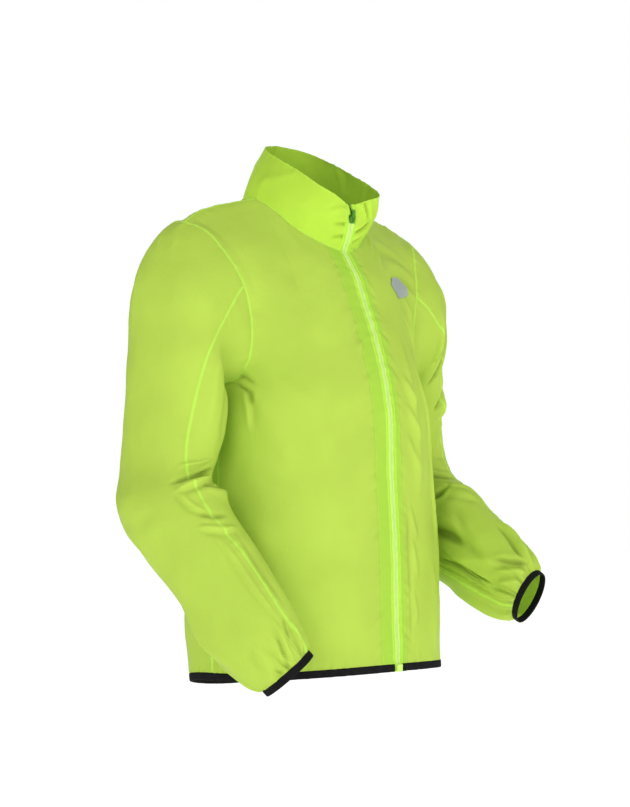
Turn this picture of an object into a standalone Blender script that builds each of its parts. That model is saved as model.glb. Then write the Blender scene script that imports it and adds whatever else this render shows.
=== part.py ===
"""A light, unlined riding wind jacket, filled out as if worn, in metres with +Z up.

The origin lies between the points where neck and shoulders meet.  The wearer's right is -X and the
front faces -Y.  Each cut piece of cloth is a thin closed wall.  Its outer face is a grid of points
worked out from short tables of sizes, and neighbouring pieces share the points of their seam.
"""

from collections import namedtuple

import bpy
import numpy as np

# ---- Driving sizes ---------------------------------------------------------------------------

CLOTH_WALL = 0.0012
FACING_WALL = 0.001
SEAM_GAP = 0.0003
BINDING_HEIGHT = 0.010
BINDING_WALL = 0.0026
BINDING_PROUD = 0.0007
ZIP_HALF_WIDTH = 0.0085
TAPE_WALL = 0.0014
TAPE_SUNK = 0.0004
FACING_WIDTHS = {"right": 0.024, "left": 0.012}
FACING_STEPS = 2

# How many steps each stretch of seam takes.  Pieces on both sides of a seam use the same count.
NECK_STEPS = 6
SHOULDER_STEPS = 6
SIDE_STEPS = 12
ARMHOLE_STEPS = 12
COLLAR_STEPS = 5
FRONT_SEAM_STEP = 5
BACK_SEAM_STEP = 19
UNDERARM = 180       # the angle round a sleeve of the line that starts at the armpit

SEAM_TOP = 2.0       # heights along a front or back: 0 at the hem, 1 at the armpit, 2 at the shoulder
YOKE_START = 1.55    # above this height a panel bends over to the neck and the shoulder seam
YOKE_LOOK_BACK = 0.05    # how far below it the panel's rise is read

# ---- Tables: the body --------------------------------------------------------------------------

Depth = namedtuple("Depth", "z depth")
FRONT_DEPTHS = [
    Depth(-0.654, 0.161),
    Depth(-0.587, 0.1575),
    Depth(-0.518, 0.156),
    Depth(-0.449, 0.153),
    Depth(-0.380, 0.148),
    Depth(-0.311, 0.1465),
    Depth(-0.255, 0.137),
    Depth(-0.2105, 0.124),
    Depth(-0.146, 0.099),
    Depth(-0.111, 0.085),
    Depth(-0.073, 0.061),
]
BACK_DEPTHS = [
    Depth(-0.680, 0.136),
    Depth(-0.640, 0.145),
    Depth(-0.600, 0.149),
    Depth(-0.500, 0.139),
    Depth(-0.400, 0.129),
    Depth(-0.300, 0.124),
    Depth(-0.200, 0.123),
    Depth(-0.120, 0.119),
    Depth(-0.060, 0.108),
    Depth(-0.020, 0.093),
    Depth(0.005, 0.080),
]

Middle = namedtuple("Middle", "height front_z back_z")
MIDDLES = [Middle(0.0, -0.648, -0.680), Middle(1.0, -0.270, -0.270), Middle(SEAM_TOP, -0.073, 0.005)]

Edge = namedtuple("Edge", "out y z")
SIDE_SEAM = [
    Edge(0.203, 0.000, -0.657),
    Edge(0.202, 0.002, -0.590),
    Edge(0.193, 0.006, -0.500),
    Edge(0.180, 0.011, -0.400),
    Edge(0.176, 0.016, -0.320),
    Edge(0.180, 0.020, -0.265),
]
FRONT_ARMHOLE = [
    Edge(0.180, 0.020, -0.265),
    Edge(0.172, -0.010, -0.257),
    Edge(0.169, -0.035, -0.231),
    Edge(0.170, -0.043, -0.197),
    Edge(0.175, -0.043, -0.160),
    Edge(0.185, -0.039, -0.122),
    Edge(0.201, -0.023, -0.085),
    Edge(0.222, 0.001, -0.051),
    Edge(0.237, 0.021, -0.042),
]
BACK_ARMHOLE = [
    Edge(0.180, 0.020, -0.265),
    Edge(0.178, 0.054, -0.257),
    Edge(0.181, 0.083, -0.217),
    Edge(0.190, 0.096, -0.160),
    Edge(0.203, 0.094, -0.115),
    Edge(0.219, 0.077, -0.068),
    Edge(0.233, 0.048, -0.042),
    Edge(0.237, 0.021, -0.042),
]

# How a level row leaves the middle and meets the panel's outer edge: 90 turns it square to the side.
Turn = namedtuple("Turn", "height degrees middle_pull edge_pull")
TURNS = [
    Turn(0.0, 90, 0.57, 0.57),
    Turn(1.0, 90, 0.60, 0.60),
    Turn(1.25, 64, 0.56, 0.50),
    Turn(1.5, 48, 0.50, 0.42),
    Turn(1.75, 36, 0.45, 0.40),
    Turn(SEAM_TOP, 25, 0.40, 0.40),
]

FRONT_NECK = [Edge(0.0085, -0.061, -0.073), Edge(0.043, -0.051, -0.061), Edge(0.073, -0.030, -0.041),
              Edge(0.089, -0.006, -0.017), Edge(0.095, 0.020, 0.000)]
BACK_NECK = [Edge(0.000, 0.080, 0.005), Edge(0.050, 0.075, 0.004), Edge(0.080, 0.059, 0.003),
             Edge(0.092, 0.040, 0.001), Edge(0.095, 0.020, 0.000)]
SHOULDER_SEAM = [Edge(0.095, 0.020, 0.000), Edge(0.150, 0.026, -0.011), Edge(0.200, 0.027, -0.024),
                 Edge(0.237, 0.021, -0.042)]
# Which way the cloth runs as it reaches the neck's middle, the neck's side and the shoulder's tip.
FRONT_ARRIVALS = [Edge(0.0, 0.050, 0.075), Edge(0.0, 0.085, 0.045), Edge(0.0, 0.075, 0.026)]
BACK_ARRIVALS = [Edge(0.0, -0.030, 0.085), Edge(0.0, -0.078, 0.008), Edge(0.0, -0.080, -0.034)]

# ---- Tables: the collar ------------------------------------------------------------------------

COLLAR_TOP_RIGHT = [
    Edge(0.0085, -0.0735, -0.008), Edge(0.024, -0.068, 0.003), Edge(0.042, -0.052, 0.0175),
    Edge(0.055, -0.028, 0.0365), Edge(0.061, 0.000, 0.053), Edge(0.056, 0.030, 0.067),
    Edge(0.037, 0.056, 0.079), Edge(0.000, 0.069, 0.085),
]
COLLAR_TOP_LEFT = [
    Edge(0.0085, -0.0735, -0.008), Edge(0.030, -0.077, -0.001), Edge(0.056, -0.076, 0.006),
    Edge(0.076, -0.060, 0.014), Edge(0.085, -0.032, 0.029), Edge(0.083, -0.004, 0.044),
    Edge(0.072, 0.024, 0.061), Edge(0.045, 0.053, 0.078), Edge(0.000, 0.069, 0.085),
]
COLLAR_BULGE = 0.006
COLLAR_CLEAR = 0.0005
ARMHOLE_CLEAR = 0.0003

# ---- Tables: the sleeves -----------------------------------------------------------------------

# One row for each ring of a sleeve.  raise_out and raise_front tilt the ring, turn swings it inward.
Ring = namedtuple("Ring", "out y z raise_out raise_front turn half_out half_front front_seam back_seam")
RIGHT_RINGS = [
    Ring(0.2405, 0.028, -0.183, 62, 0, 0, 0.0960, 0.075, 95, 288),
    Ring(0.2430, 0.027, -0.252, 43, 0, 0, 0.0775, 0.078, 70, 286),
    Ring(0.2500, 0.026, -0.318, 20, 3, 2, 0.0620, 0.0765, 56, 284),
    Ring(0.2620, 0.025, -0.372, 4, 10, 5, 0.0585, 0.0725, 55, 280),
    Ring(0.2810, 0.010, -0.420, -4, 24, 10, 0.0600, 0.0715, 66, 272),
    Ring(0.2770, -0.030, -0.468, -6, 32, 16, 0.0580, 0.0665, 62, 256),
    Ring(0.2680, -0.075, -0.520, -6, 34, 22, 0.0560, 0.0625, 64, 240),
    Ring(0.2600, -0.120, -0.585, -6, 34, 30, 0.0535, 0.0640, 62, 228),
    Ring(0.2480, -0.157, -0.628, -4, 39, 37, 0.0440, 0.0520, 66, 222),
    Ring(0.2415, -0.171, -0.6420, -3, 41, 42, 0.0365, 0.0400, 70, 220),
]
LEFT_RINGS = [
    Ring(0.2395, 0.028, -0.181, 62, 0, 0, 0.0940, 0.073, 93, 284),
    Ring(0.2400, 0.043, -0.252, 43, 2, 0, 0.0755, 0.073, 78, 286),
    Ring(0.2450, 0.049, -0.318, 20, 8, 0, 0.0600, 0.0740, 72, 280),
    Ring(0.2550, 0.052, -0.372, 4, 18, 0, 0.0585, 0.0745, 74, 270),
    Ring(0.2670, 0.037, -0.424, -2, 36, 2, 0.0600, 0.0760, 75, 250),
    Ring(0.2620, -0.026, -0.465, -2, 52, 2, 0.0570, 0.0710, 75, 226),
    Ring(0.2540, -0.087, -0.500, 0, 60, 0, 0.0545, 0.0645, 74, 212),
    Ring(0.2475, -0.138, -0.529, 0, 61, -5, 0.0520, 0.0605, 72, 206),
    Ring(0.2400, -0.183, -0.552, 0, 64, -10, 0.0440, 0.0520, 72, 204),
    Ring(0.2370, -0.201, -0.5600, 0, 66, -14, 0.0365, 0.0385, 72, 204),
]
SLEEVE_ROWS_PER_RING = [2, 2, 2, 2, 3, 3, 3, 3, 2, 1]

# The way the cloth leaves the armhole, as a step outwards, over the shoulder, apart and down.
LEAVING_OUT = 0.060
LEAVING_OVER = 0.030
LEAVING_SPREAD = 0.040
LEAVING_DROP = 0.015

# ---- Tables: the largest folds -----------------------------------------------------------------

# Each runs from one point to another, and raises (or, if negative, sinks) the cloth about its line.
Fold = namedtuple("Fold", "x0 y0 z0 x1 y1 z1 half_width height")
FOLDS = [
    Fold(-0.215, -0.050, -0.392, -0.300, -0.040, -0.385, 0.013, -0.006),
    Fold(-0.215, -0.060, -0.412, -0.305, -0.055, -0.405, 0.015, 0.007),
    Fold(-0.300, 0.055, -0.455, -0.300, -0.030, -0.500, 0.018, -0.005),
    Fold(0.215, -0.050, -0.385, 0.300, -0.040, -0.380, 0.014, -0.006),
    Fold(0.210, -0.070, -0.425, 0.290, -0.075, -0.425, 0.016, 0.006),
    Fold(0.300, 0.080, -0.440, 0.300, 0.020, -0.480, 0.018, -0.005),
    Fold(0.090, -0.150, -0.300, 0.075, -0.155, -0.470, 0.018, 0.005),
    Fold(0.130, -0.120, -0.280, 0.120, -0.135, -0.520, 0.018, -0.004),
    Fold(-0.120, -0.130, -0.300, -0.100, -0.140, -0.480, 0.022, 0.003),
    Fold(-0.100, 0.120, -0.300, -0.060, 0.130, -0.480, 0.022, -0.005),
    Fold(0.110, 0.115, -0.290, 0.080, 0.130, -0.500, 0.022, -0.005),
]

FOLD_END_SHARE = 0.35    # how much of its height a fold keeps at its ends

# ---- Tables: the zip and the patch ---------------------------------------------------------------

SLIDER_HEIGHT = -0.0300
SLIDER_SIZE = (0.0080, 0.0034, 0.0095)
BRIDGE_SIZE = (0.0011, 0.0032, 0.0052)
BRIDGE_WINDOW = (0.0030, 0.0016, 0.0030)
BRIDGE_SUNK = 0.0004
PIN_ABOVE_BODY = 0.00095
PULL_SIZE = (0.0052, 0.0010, 0.0150)
PULL_SLOT = (0.0017, 0.0030, 0.0030)
PULL_HEEL = 0.0005
BEVEL_SHARE = 0.16       # of a small part's least side
GARAGE_HALF_WIDTH = 0.0085
GARAGE_HEIGHT = 0.0100
GARAGE_WALL = 0.0010
GARAGE_LIFT = 0.0012     # how far the garage's outer face stands off the slider's seat
BOX_SIZE = (0.0110, 0.0036, 0.0100)
PATCH_ACROSS = (0.44, 0.58)
PATCH_HEIGHTS = (1.585, 1.675)
PATCH_STEPS = 4
PATCH_WALL = 0.0008
PATCH_LIFT = 0.0005

Paint = namedtuple("Paint", "colour roughness metallic")
NEON_CLOTH = Paint((0.50, 0.72, 0.09, 1.0), 0.50, 0.0)
ZIP_CLOTH = Paint((0.62, 0.86, 0.25, 1.0), 0.60, 0.0)
BLACK_ELASTIC = Paint((0.010, 0.010, 0.014, 1.0), 0.75, 0.0)
SILVER_FILM = Paint((0.38, 0.42, 0.40, 1.0), 0.35, 0.4)
PULL_ENAMEL = Paint((0.40, 0.62, 0.08, 1.0), 0.35, 0.3)


# ---- Curves ---------------------------------------------------------------------------------------

def through(knots, values, at):
    """A smooth curve through values at rising knots, read at each number in at."""
    knots = np.asarray(knots, float)
    values = np.asarray(values, float).reshape(len(knots), -1)
    at = np.clip(np.asarray(at, float), knots[0], knots[-1])
    gaps = np.diff(knots)[:, None]
    slopes = np.diff(values, axis=0) / gaps
    tangents = np.empty_like(values)
    tangents[0], tangents[-1] = slopes[0], slopes[-1]
    tangents[1:-1] = (slopes[:-1] * gaps[1:] + slopes[1:] * gaps[:-1]) / (gaps[:-1] + gaps[1:])
    index = np.clip(np.searchsorted(knots, at, side="right") - 1, 0, len(knots) - 2)
    gap = gaps[index]
    part = ((at - knots[index]) / gap[:, 0])[:, None]
    return (
        (2 * part**3 - 3 * part**2 + 1) * values[index]
        + (part**3 - 2 * part**2 + part) * gap * tangents[index]
        + (3 * part**2 - 2 * part**3) * values[index + 1]
        + (part**3 - part**2) * gap * tangents[index + 1]
    )


def lengths_along(points):
    """How far along a line of points each one lies, from 0 to 1."""
    steps = np.linalg.norm(np.diff(np.asarray(points, float), axis=0), axis=1)
    sums = np.concatenate([[0.0], np.cumsum(steps)])
    return sums / sums[-1]


def along(table, parts):
    """Points at the given parts, 0 to 1 by length, of the smooth curve through a table of points."""
    return through(lengths_along(table), table, parts)


def points_at(line, values, distances):
    """What belongs to the points of a line, read at distances from its first point."""
    steps = np.linalg.norm(np.diff(line, axis=0), axis=1)
    sums = np.concatenate([[0.0], np.cumsum(steps)])
    return np.stack([np.interp(distances, sums, values[:, axis]) for axis in range(3)], axis=1)


# ---- Fronts and back --------------------------------------------------------------------------------

def edge_points(heights, armhole):
    """The outer edge of a front or back: the side seam up to the armpit, then the armhole."""
    low = along(SIDE_SEAM, np.minimum(heights, 1.0))
    high = along(armhole, np.clip(heights - 1.0, 0.0, 1.0))
    return np.where((heights <= 1.0)[:, None], low, high)


def middle_points(heights, is_front):
    """The panel's edge at the body's middle, where x is the zip's half width, or 0 on the back."""
    middles = np.array(MIDDLES)
    z = np.interp(heights, middles[:, 0], middles[:, 1 if is_front else 2])
    depths = np.array(FRONT_DEPTHS if is_front else BACK_DEPTHS)
    depth = through(depths[:, 0], depths[:, 1], z)[:, 0]
    x = np.full(len(heights), ZIP_HALF_WIDTH if is_front else 0.0)
    return np.stack([x, -depth if is_front else depth, z], axis=1)


def level_rows(across, heights, is_front):
    """Rows from the middle to the outer edge, each one a single bent sweep."""
    middle = middle_points(heights, is_front)
    edge = edge_points(heights, FRONT_ARMHOLE if is_front else BACK_ARMHOLE)
    turns = through([row.height for row in TURNS], TURNS, heights)
    angle = np.radians(turns[:, 1])
    span = edge - middle
    first = middle + np.stack([turns[:, 2] * span[:, 0], 0 * angle, 0 * angle], axis=1)
    last = edge - np.stack(
        [turns[:, 3] * np.cos(angle) * span[:, 0], turns[:, 3] * np.sin(angle) * span[:, 1], 0 * angle], axis=1
    )
    t = across[None, :, None]
    return (
        (1 - t) ** 3 * middle[:, None]
        + 3 * (1 - t) ** 2 * t * first[:, None]
        + 3 * (1 - t) * t**2 * last[:, None]
        + t**3 * edge[:, None]
    )


def top_edge(across, is_front):
    """The panel's top: the neckline, then the shoulder seam, with the way the cloth arrives there."""
    neck_share = NECK_STEPS / (NECK_STEPS + SHOULDER_STEPS)
    on_neck = along(FRONT_NECK if is_front else BACK_NECK, np.clip(across / neck_share, 0, 1))
    on_shoulder = along(SHOULDER_SEAM, np.clip((across - neck_share) / (1 - neck_share), 0, 1))
    points = np.where((across < neck_share)[:, None], on_neck, on_shoulder)
    arrivals = through([0.0, neck_share, 1.0], FRONT_ARRIVALS if is_front else BACK_ARRIVALS, across)
    return points, arrivals


def panel_points(inner_across, heights, is_front):
    """A front or half of the back, on the side where x is positive: a row of points for each height."""
    across = np.concatenate([[0.0], inner_across, [1.0]])
    rows = level_rows(across, np.minimum(heights, YOKE_START), is_front)
    before = level_rows(across, np.array([YOKE_START - YOKE_LOOK_BACK]), is_front)[0]
    start = level_rows(across, np.array([YOKE_START]), is_front)[0]
    rise = (start - before) / YOKE_LOOK_BACK * (SEAM_TOP - YOKE_START)
    top, arrivals = top_edge(across, is_front)
    t = np.clip((heights - YOKE_START) / (SEAM_TOP - YOKE_START), 0, 1)[:, None, None]
    yoke = (
        (2 * t**3 - 3 * t**2 + 1) * start
        + (t**3 - 2 * t**2 + t) * rise
        + (3 * t**2 - 2 * t**3) * top
        + (t**3 - t**2) * arrivals
    )
    points = np.where((heights > YOKE_START)[:, None, None], yoke, rows)
    edge = edge_points(heights, FRONT_ARMHOLE if is_front else BACK_ARMHOLE)
    middle = middle_points(heights, is_front)
    high = heights > YOKE_START
    outward = (across**3)[None, :, None]
    inward = ((1 - across) ** 3)[None, :, None]
    mended = points + outward * (edge - points[:, -1])[:, None] + inward * (middle - points[:, 0])[:, None]
    return np.where(high[:, None, None], mended, points)[:, 1:-1]


def panel_steps():
    """Where a panel's columns and rows lie: even steps on each stretch of seam."""
    across = np.linspace(0, 1, NECK_STEPS + SHOULDER_STEPS + 1)
    heights = np.concatenate(
        [np.linspace(0, 1, SIDE_STEPS + 1)[:-1], np.linspace(1, SEAM_TOP, ARMHOLE_STEPS + 1)]
    )
    return across, heights


def mirrored(points):
    """The same points on the body's other side, with the columns in the other order."""
    return points[:, ::-1] * np.array([-1.0, 1.0, 1.0])


# ---- Collar -------------------------------------------------------------------------------------------

def collar_half(top_table):
    """Half of the collar, from the zip to the back's middle, where x is positive."""
    front = along(FRONT_NECK, np.linspace(0, 1, NECK_STEPS + 1))
    back = along(BACK_NECK, np.linspace(1, 0, NECK_STEPS + 1))
    base = np.concatenate([front, back[1:]])
    top = along(top_table, lengths_along(base))
    rows = np.linspace(0, 1, COLLAR_STEPS + 1)[:, None, None]
    straight = base + (top - base) * rows
    outward = base * np.array([1.0, 1.0, 0.0])
    outward /= np.linalg.norm(outward, axis=1, keepdims=True)
    return straight + outward * COLLAR_BULGE * np.sin(np.pi * rows)


def collar_points():
    """The whole collar, from the left zip edge round the back to the right one."""
    left = collar_half(COLLAR_TOP_LEFT)
    right = mirrored(collar_half(COLLAR_TOP_RIGHT))
    return np.concatenate([left, right[:, 1:]], axis=1)


# ---- Sleeves ------------------------------------------------------------------------------------------

def armhole_ring():
    """The armhole from the shoulder's tip down the front, under the arm and up the back."""
    parts = np.linspace(1, 0, ARMHOLE_STEPS + 1)
    front = along(FRONT_ARMHOLE, parts)
    back = along(BACK_ARMHOLE, parts[::-1])
    return np.concatenate([front, back[1:-1]])


def column_angles(front_seam, back_seam):
    """The angle of each lengthwise line of a sleeve, with lines on both seams."""
    count = 2 * ARMHOLE_STEPS
    steps = [0, FRONT_SEAM_STEP, ARMHOLE_STEPS, BACK_SEAM_STEP, count]
    return np.radians(np.interp(np.arange(count), steps, [0, front_seam, UNDERARM, back_seam, 360]))


def ring_points(ring):
    """One ring of a sleeve, where x is positive."""
    angles = column_angles(ring.front_seam, ring.back_seam)[:, None]
    out, front, turn = np.radians([ring.raise_out, ring.raise_front, ring.turn])
    to_side = np.array([np.cos(out) * np.cos(turn), -np.cos(out) * np.sin(turn), np.sin(out)])
    to_front = np.array([-np.cos(front) * np.sin(turn), -np.cos(front) * np.cos(turn), np.sin(front)])
    centre = np.array([ring.out, ring.y, ring.z])
    return centre + ring.half_out * np.cos(angles) * to_side + ring.half_front * np.sin(angles) * to_front


def sleeve_points(rings):
    """A sleeve's lengthwise lines from the armhole to the binding, where x is positive."""
    loops = np.stack([armhole_ring()] + [ring_points(ring) for ring in rings])
    angles = column_angles(180 * FRONT_SEAM_STEP / ARMHOLE_STEPS, 180 * BACK_SEAM_STEP / ARMHOLE_STEPS)
    under = np.maximum(-np.cos(angles), 0)
    over = np.maximum(np.cos(angles), 0)
    leaving = np.stack(
        [
            LEAVING_OUT + LEAVING_OVER * (over - under),
            -LEAVING_SPREAD * np.sin(angles),
            LEAVING_DROP * (under - 1),
        ],
        axis=1,
    )
    loops = np.concatenate([[loops[0] - leaving], loops])
    knots = np.arange(len(loops)) - 1.0
    at = np.concatenate(
        [np.linspace(i, i + 1, steps, endpoint=False) for i, steps in enumerate(SLEEVE_ROWS_PER_RING)]
        + [[float(len(rings))]]
    )
    flat = through(knots, loops.reshape(len(loops), -1), at)
    return flat.reshape(len(at), -1, 3)


# ---- Folds and seams ------------------------------------------------------------------------------------

def fold_heights(points):
    """How far each point stands proud because of the largest folds."""
    heights = np.zeros(points.shape[:-1])
    for fold in FOLDS:
        start, end = np.array(fold[0:3]), np.array(fold[3:6])
        run = end - start
        part = np.clip(((points - start) @ run) / (run @ run), 0, 1)
        away = np.linalg.norm(points - (start + part[..., None] * run), axis=-1)
        fade = FOLD_END_SHARE + (1 - FOLD_END_SHARE) * np.sin(np.pi * part)
        heights += fold.height * fade * np.exp(-((away / fold.half_width) ** 2))
    return heights


def own_normals(grid):
    """The outward normal at each point of one grid."""
    across = grid[:-1, 1:] - grid[1:, :-1]
    up = grid[1:, 1:] - grid[:-1, :-1]
    faces = np.cross(across, up)
    sums = np.zeros(grid.shape)
    for rows in (slice(None, -1), slice(1, None)):
        for columns in (slice(None, -1), slice(1, None)):
            sums[rows, columns] += faces
    return sums / np.linalg.norm(sums, axis=-1, keepdims=True)


def shared_normals(grids):
    """An outward normal at each point of the grids, midway between the pieces that meet there."""
    points = np.concatenate([grid.reshape(-1, 3) for grid in grids])
    normals = np.concatenate([own_normals(grid).reshape(-1, 3) for grid in grids])
    _, keys = np.unique(np.round(points, 6), axis=0, return_inverse=True)
    keys = keys.reshape(-1)
    sums = np.zeros((keys.max() + 1, 3))
    np.add.at(sums, keys, normals)
    sums /= np.linalg.norm(sums, axis=1, keepdims=True)
    ends = np.cumsum([grid.shape[0] * grid.shape[1] for grid in grids])[:-1]
    return [part.reshape(grid.shape) for part, grid in zip(np.split(sums[keys], ends), grids)]


def pulled_in(grid, normals, top, bottom, left, right):
    """The grid with its edges drawn back, each by its own amount, square to the seam and its normals."""
    moved = grid.copy()
    edges = [
        (top, (-1, slice(None)), -1),
        (bottom, (0, slice(None)), 1),
        (left, (slice(None), 0), -1),
        (right, (slice(None), -1), 1),
    ]
    for amount, edge, turn in edges:
        run = np.gradient(grid[edge], axis=0)
        way = turn * np.cross(normals[edge], run)
        way /= np.linalg.norm(way, axis=-1, keepdims=True)
        moved[edge] = moved[edge] + way * amount
    return moved


# ---- Meshes -----------------------------------------------------------------------------------------------

MATERIALS = {}


def painted(piece, name, paint):
    """Gives a piece its material, made once for each name."""
    if name not in MATERIALS:
        material = bpy.data.materials.new(name)
        material.use_nodes = True
        shader = material.node_tree.nodes["Principled BSDF"]
        shader.inputs["Base Color"].default_value = paint.colour
        shader.inputs["Roughness"].default_value = paint.roughness
        shader.inputs["Metallic"].default_value = paint.metallic
        MATERIALS[name] = material
    piece.data.materials.append(MATERIALS[name])
    return piece


def mesh_piece(name, points, faces):
    """A named object from points and faces, shaded smooth except at sharp edges."""
    mesh = bpy.data.meshes.new(name)
    mesh.from_pydata([tuple(point) for point in points], [], faces)
    mesh.shade_smooth()
    mesh.set_sharp_from_angle(angle=np.radians(50))
    piece = bpy.data.objects.new(name, mesh)
    bpy.context.scene.collection.objects.link(piece)
    return piece


def wall(name, outer, normals, thickness, closed=False):
    """A closed wall: the outer face, the same face moved inward, and the edges between them.

    Columns run left to right and rows bottom to top, seen from outside.
    """
    rows, columns = outer.shape[:2]
    inner = outer - thickness * normals
    points = np.concatenate([outer.reshape(-1, 3), inner.reshape(-1, 3)])
    behind = rows * columns
    faces = []
    sides = columns if closed else columns - 1

    def at(row, column):
        return row * columns + column % columns

    for row in range(rows - 1):
        for column in range(sides):
            a, b = at(row, column), at(row, column + 1)
            c, d = at(row + 1, column + 1), at(row + 1, column)
            faces.append((a, b, c, d))
            faces.append((d + behind, c + behind, b + behind, a + behind))
    for column in range(sides):
        a, b = at(0, column), at(0, column + 1)
        c, d = at(rows - 1, column), at(rows - 1, column + 1)
        faces.append((b, a, a + behind, b + behind))
        faces.append((c, d, d + behind, c + behind))
    if not closed:
        for row in range(rows - 1):
            a, b = at(row, 0), at(row + 1, 0)
            c, d = at(row, columns - 1), at(row + 1, columns - 1)
            faces.append((a, b, b + behind, a + behind))
            faces.append((d, c, c + behind, d + behind))
    return mesh_piece(name, points, faces)


def block(name, centre, size, lean=0.0, rounded=True):
    """A box, leaning forward by an angle about X, with its edges rounded or left sharp."""
    x, y, z = (side / 2 for side in size)
    corners = np.array([(i, j, k) for k in (-z, z) for j in (-y, y) for i in (-x, x)])
    turn = np.array([[1, 0, 0], [0, np.cos(lean), -np.sin(lean)], [0, np.sin(lean), np.cos(lean)]])
    faces = [(0, 2, 3, 1), (4, 5, 7, 6), (0, 1, 5, 4), (2, 6, 7, 3), (1, 3, 7, 5), (0, 4, 6, 2)]
    piece = mesh_piece(name, corners @ turn.T + np.array(centre), faces)
    if rounded:
        bevel = piece.modifiers.new("edges", "BEVEL")
        bevel.width = min(size) * BEVEL_SHARE
        bevel.segments = 2
    return piece


# ---- The pieces -------------------------------------------------------------------------------------------

def cloth_grids():
    """The outer points of each cut piece, seen from outside with rows going up, with their normals."""
    across, heights = panel_steps()
    front_left = panel_points(across, heights, True)
    front_right = mirrored(front_left)
    back_left = panel_points(across, heights, False)[:, ::-1]
    back_right = mirrored(back_left)
    back = np.concatenate([back_left, back_right[:, 1:]], axis=1)
    grids = {"front_right": front_right, "front_left": front_left, "back": back, "collar": collar_points()}
    for side, rings in (("right", RIGHT_RINGS), ("left", LEFT_RINGS)):
        lines = sleeve_points(rings)[::-1]
        outer = np.concatenate([lines[:, BACK_SEAM_STEP:], lines[:, :FRONT_SEAM_STEP + 1]], axis=1)
        under = lines[:, FRONT_SEAM_STEP:BACK_SEAM_STEP + 1]
        if side == "right":
            outer, under = outer * [-1, 1, 1], under * [-1, 1, 1]
        else:
            outer, under = outer[:, ::-1], under[:, ::-1]
        grids[f"sleeve_{side}_outer"] = outer
        grids[f"sleeve_{side}_under"] = under
    names = list(grids)
    flat_normals = shared_normals([grids[name] for name in names])
    for name, normals in zip(names, flat_normals):
        if name != "collar":
            grids[name] = grids[name] + fold_heights(grids[name])[..., None] * normals
    return grids, dict(zip(names, shared_normals([grids[name] for name in names])))


def build_cloth(grids, normals):
    """Each cut piece as a wall, drawn back from the seams that it shares."""
    for name, grid in grids.items():
        clear = COLLAR_CLEAR if name == "collar" else SEAM_GAP / 2
        top = {"collar": 0.0, "sleeve": ARMHOLE_CLEAR}.get(name.split("_")[0], clear)
        edged = pulled_in(grid, normals[name], top, clear, clear, clear)
        piece = wall(name, edged, normals[name], CLOTH_WALL)
        painted(piece, "neon_cloth", NEON_CLOTH)


def build_binding(name, edge, way_down, normals, closed):
    """An elastic band folded round a raw edge: it hangs from the cloth's last row."""
    top = edge + way_down * SEAM_GAP / 2 + normals * BINDING_PROUD
    middle = top + way_down * BINDING_HEIGHT / 2
    low = top + way_down * BINDING_HEIGHT
    outer = np.stack([low, middle, top])
    piece = wall(name, outer, np.stack([normals] * 3), BINDING_WALL, closed)
    return painted(piece, "black_elastic", BLACK_ELASTIC)


def build_bindings(grids, normals):
    """The bands at the hem and at both cuffs."""
    hem_parts = ["front_left", "back", "front_right"]
    skip = {"front_left": slice(0, None), "back": slice(1, None), "front_right": slice(1, None)}
    edge = np.concatenate([grids[part][0][skip[part]] for part in hem_parts])
    above = np.concatenate([grids[part][1][skip[part]] for part in hem_parts])
    out = np.concatenate([normals[part][0][skip[part]] for part in hem_parts])
    down = (edge - above) / np.linalg.norm(edge - above, axis=1, keepdims=True)
    build_binding("hem_binding", edge, down, out, False)
    for side in ("right", "left"):
        outer, under = f"sleeve_{side}_outer", f"sleeve_{side}_under"
        edge = np.concatenate([grids[outer][0], grids[under][0][1:-1]])
        out = np.concatenate([normals[outer][0], normals[under][0][1:-1]])
        centre = edge.mean(axis=0)
        above = np.concatenate([grids[outer][1], grids[under][1][1:-1]]).mean(axis=0)
        down = (centre - above) / np.linalg.norm(centre - above)
        out = out - (out @ down)[:, None] * down
        out /= np.linalg.norm(out, axis=1, keepdims=True)
        build_binding(f"cuff_binding_{side}", edge, np.tile(down, (len(edge), 1)), out, True)


def zip_line():
    """The zip's middle from the hem's lower edge to the collar's top, with its outward normals."""
    _, heights = panel_steps()
    body = middle_points(heights, True) * np.array([0.0, 1.0, 1.0])
    body[-1] = np.array(FRONT_NECK[0]) * [0, 1, 1]
    collar = collar_half(COLLAR_TOP_LEFT)[1:, 0] * np.array([0.0, 1.0, 1.0])
    bottom = body[:1] - np.array([[0.0, 0.0, BINDING_HEIGHT]])
    points = np.concatenate([bottom, body, collar])
    run = np.gradient(points, axis=0)
    normals = np.stack([0 * run[:, 0], -run[:, 2], run[:, 1]], axis=1)
    return points, normals / np.linalg.norm(normals, axis=1, keepdims=True)


def build_zip(points, normals):
    """The two zip tapes, which fill the space between the fronts and between the collar's ends."""
    for side, (start, end) in {"right": (-1, 0), "left": (0, 1)}.items():
        clear = SEAM_GAP / 2
        first = start * ZIP_HALF_WIDTH + clear
        last = end * ZIP_HALF_WIDTH - clear
        columns = [points - normals * TAPE_SUNK + np.array([x, 0, 0]) for x in (first, last)]
        outer = np.stack(columns, axis=1)
        piece = wall(f"zip_tape_{side}", outer, np.stack([normals] * 2, axis=1), TAPE_WALL)
        painted(piece, "zip_cloth", ZIP_CLOTH)


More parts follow.
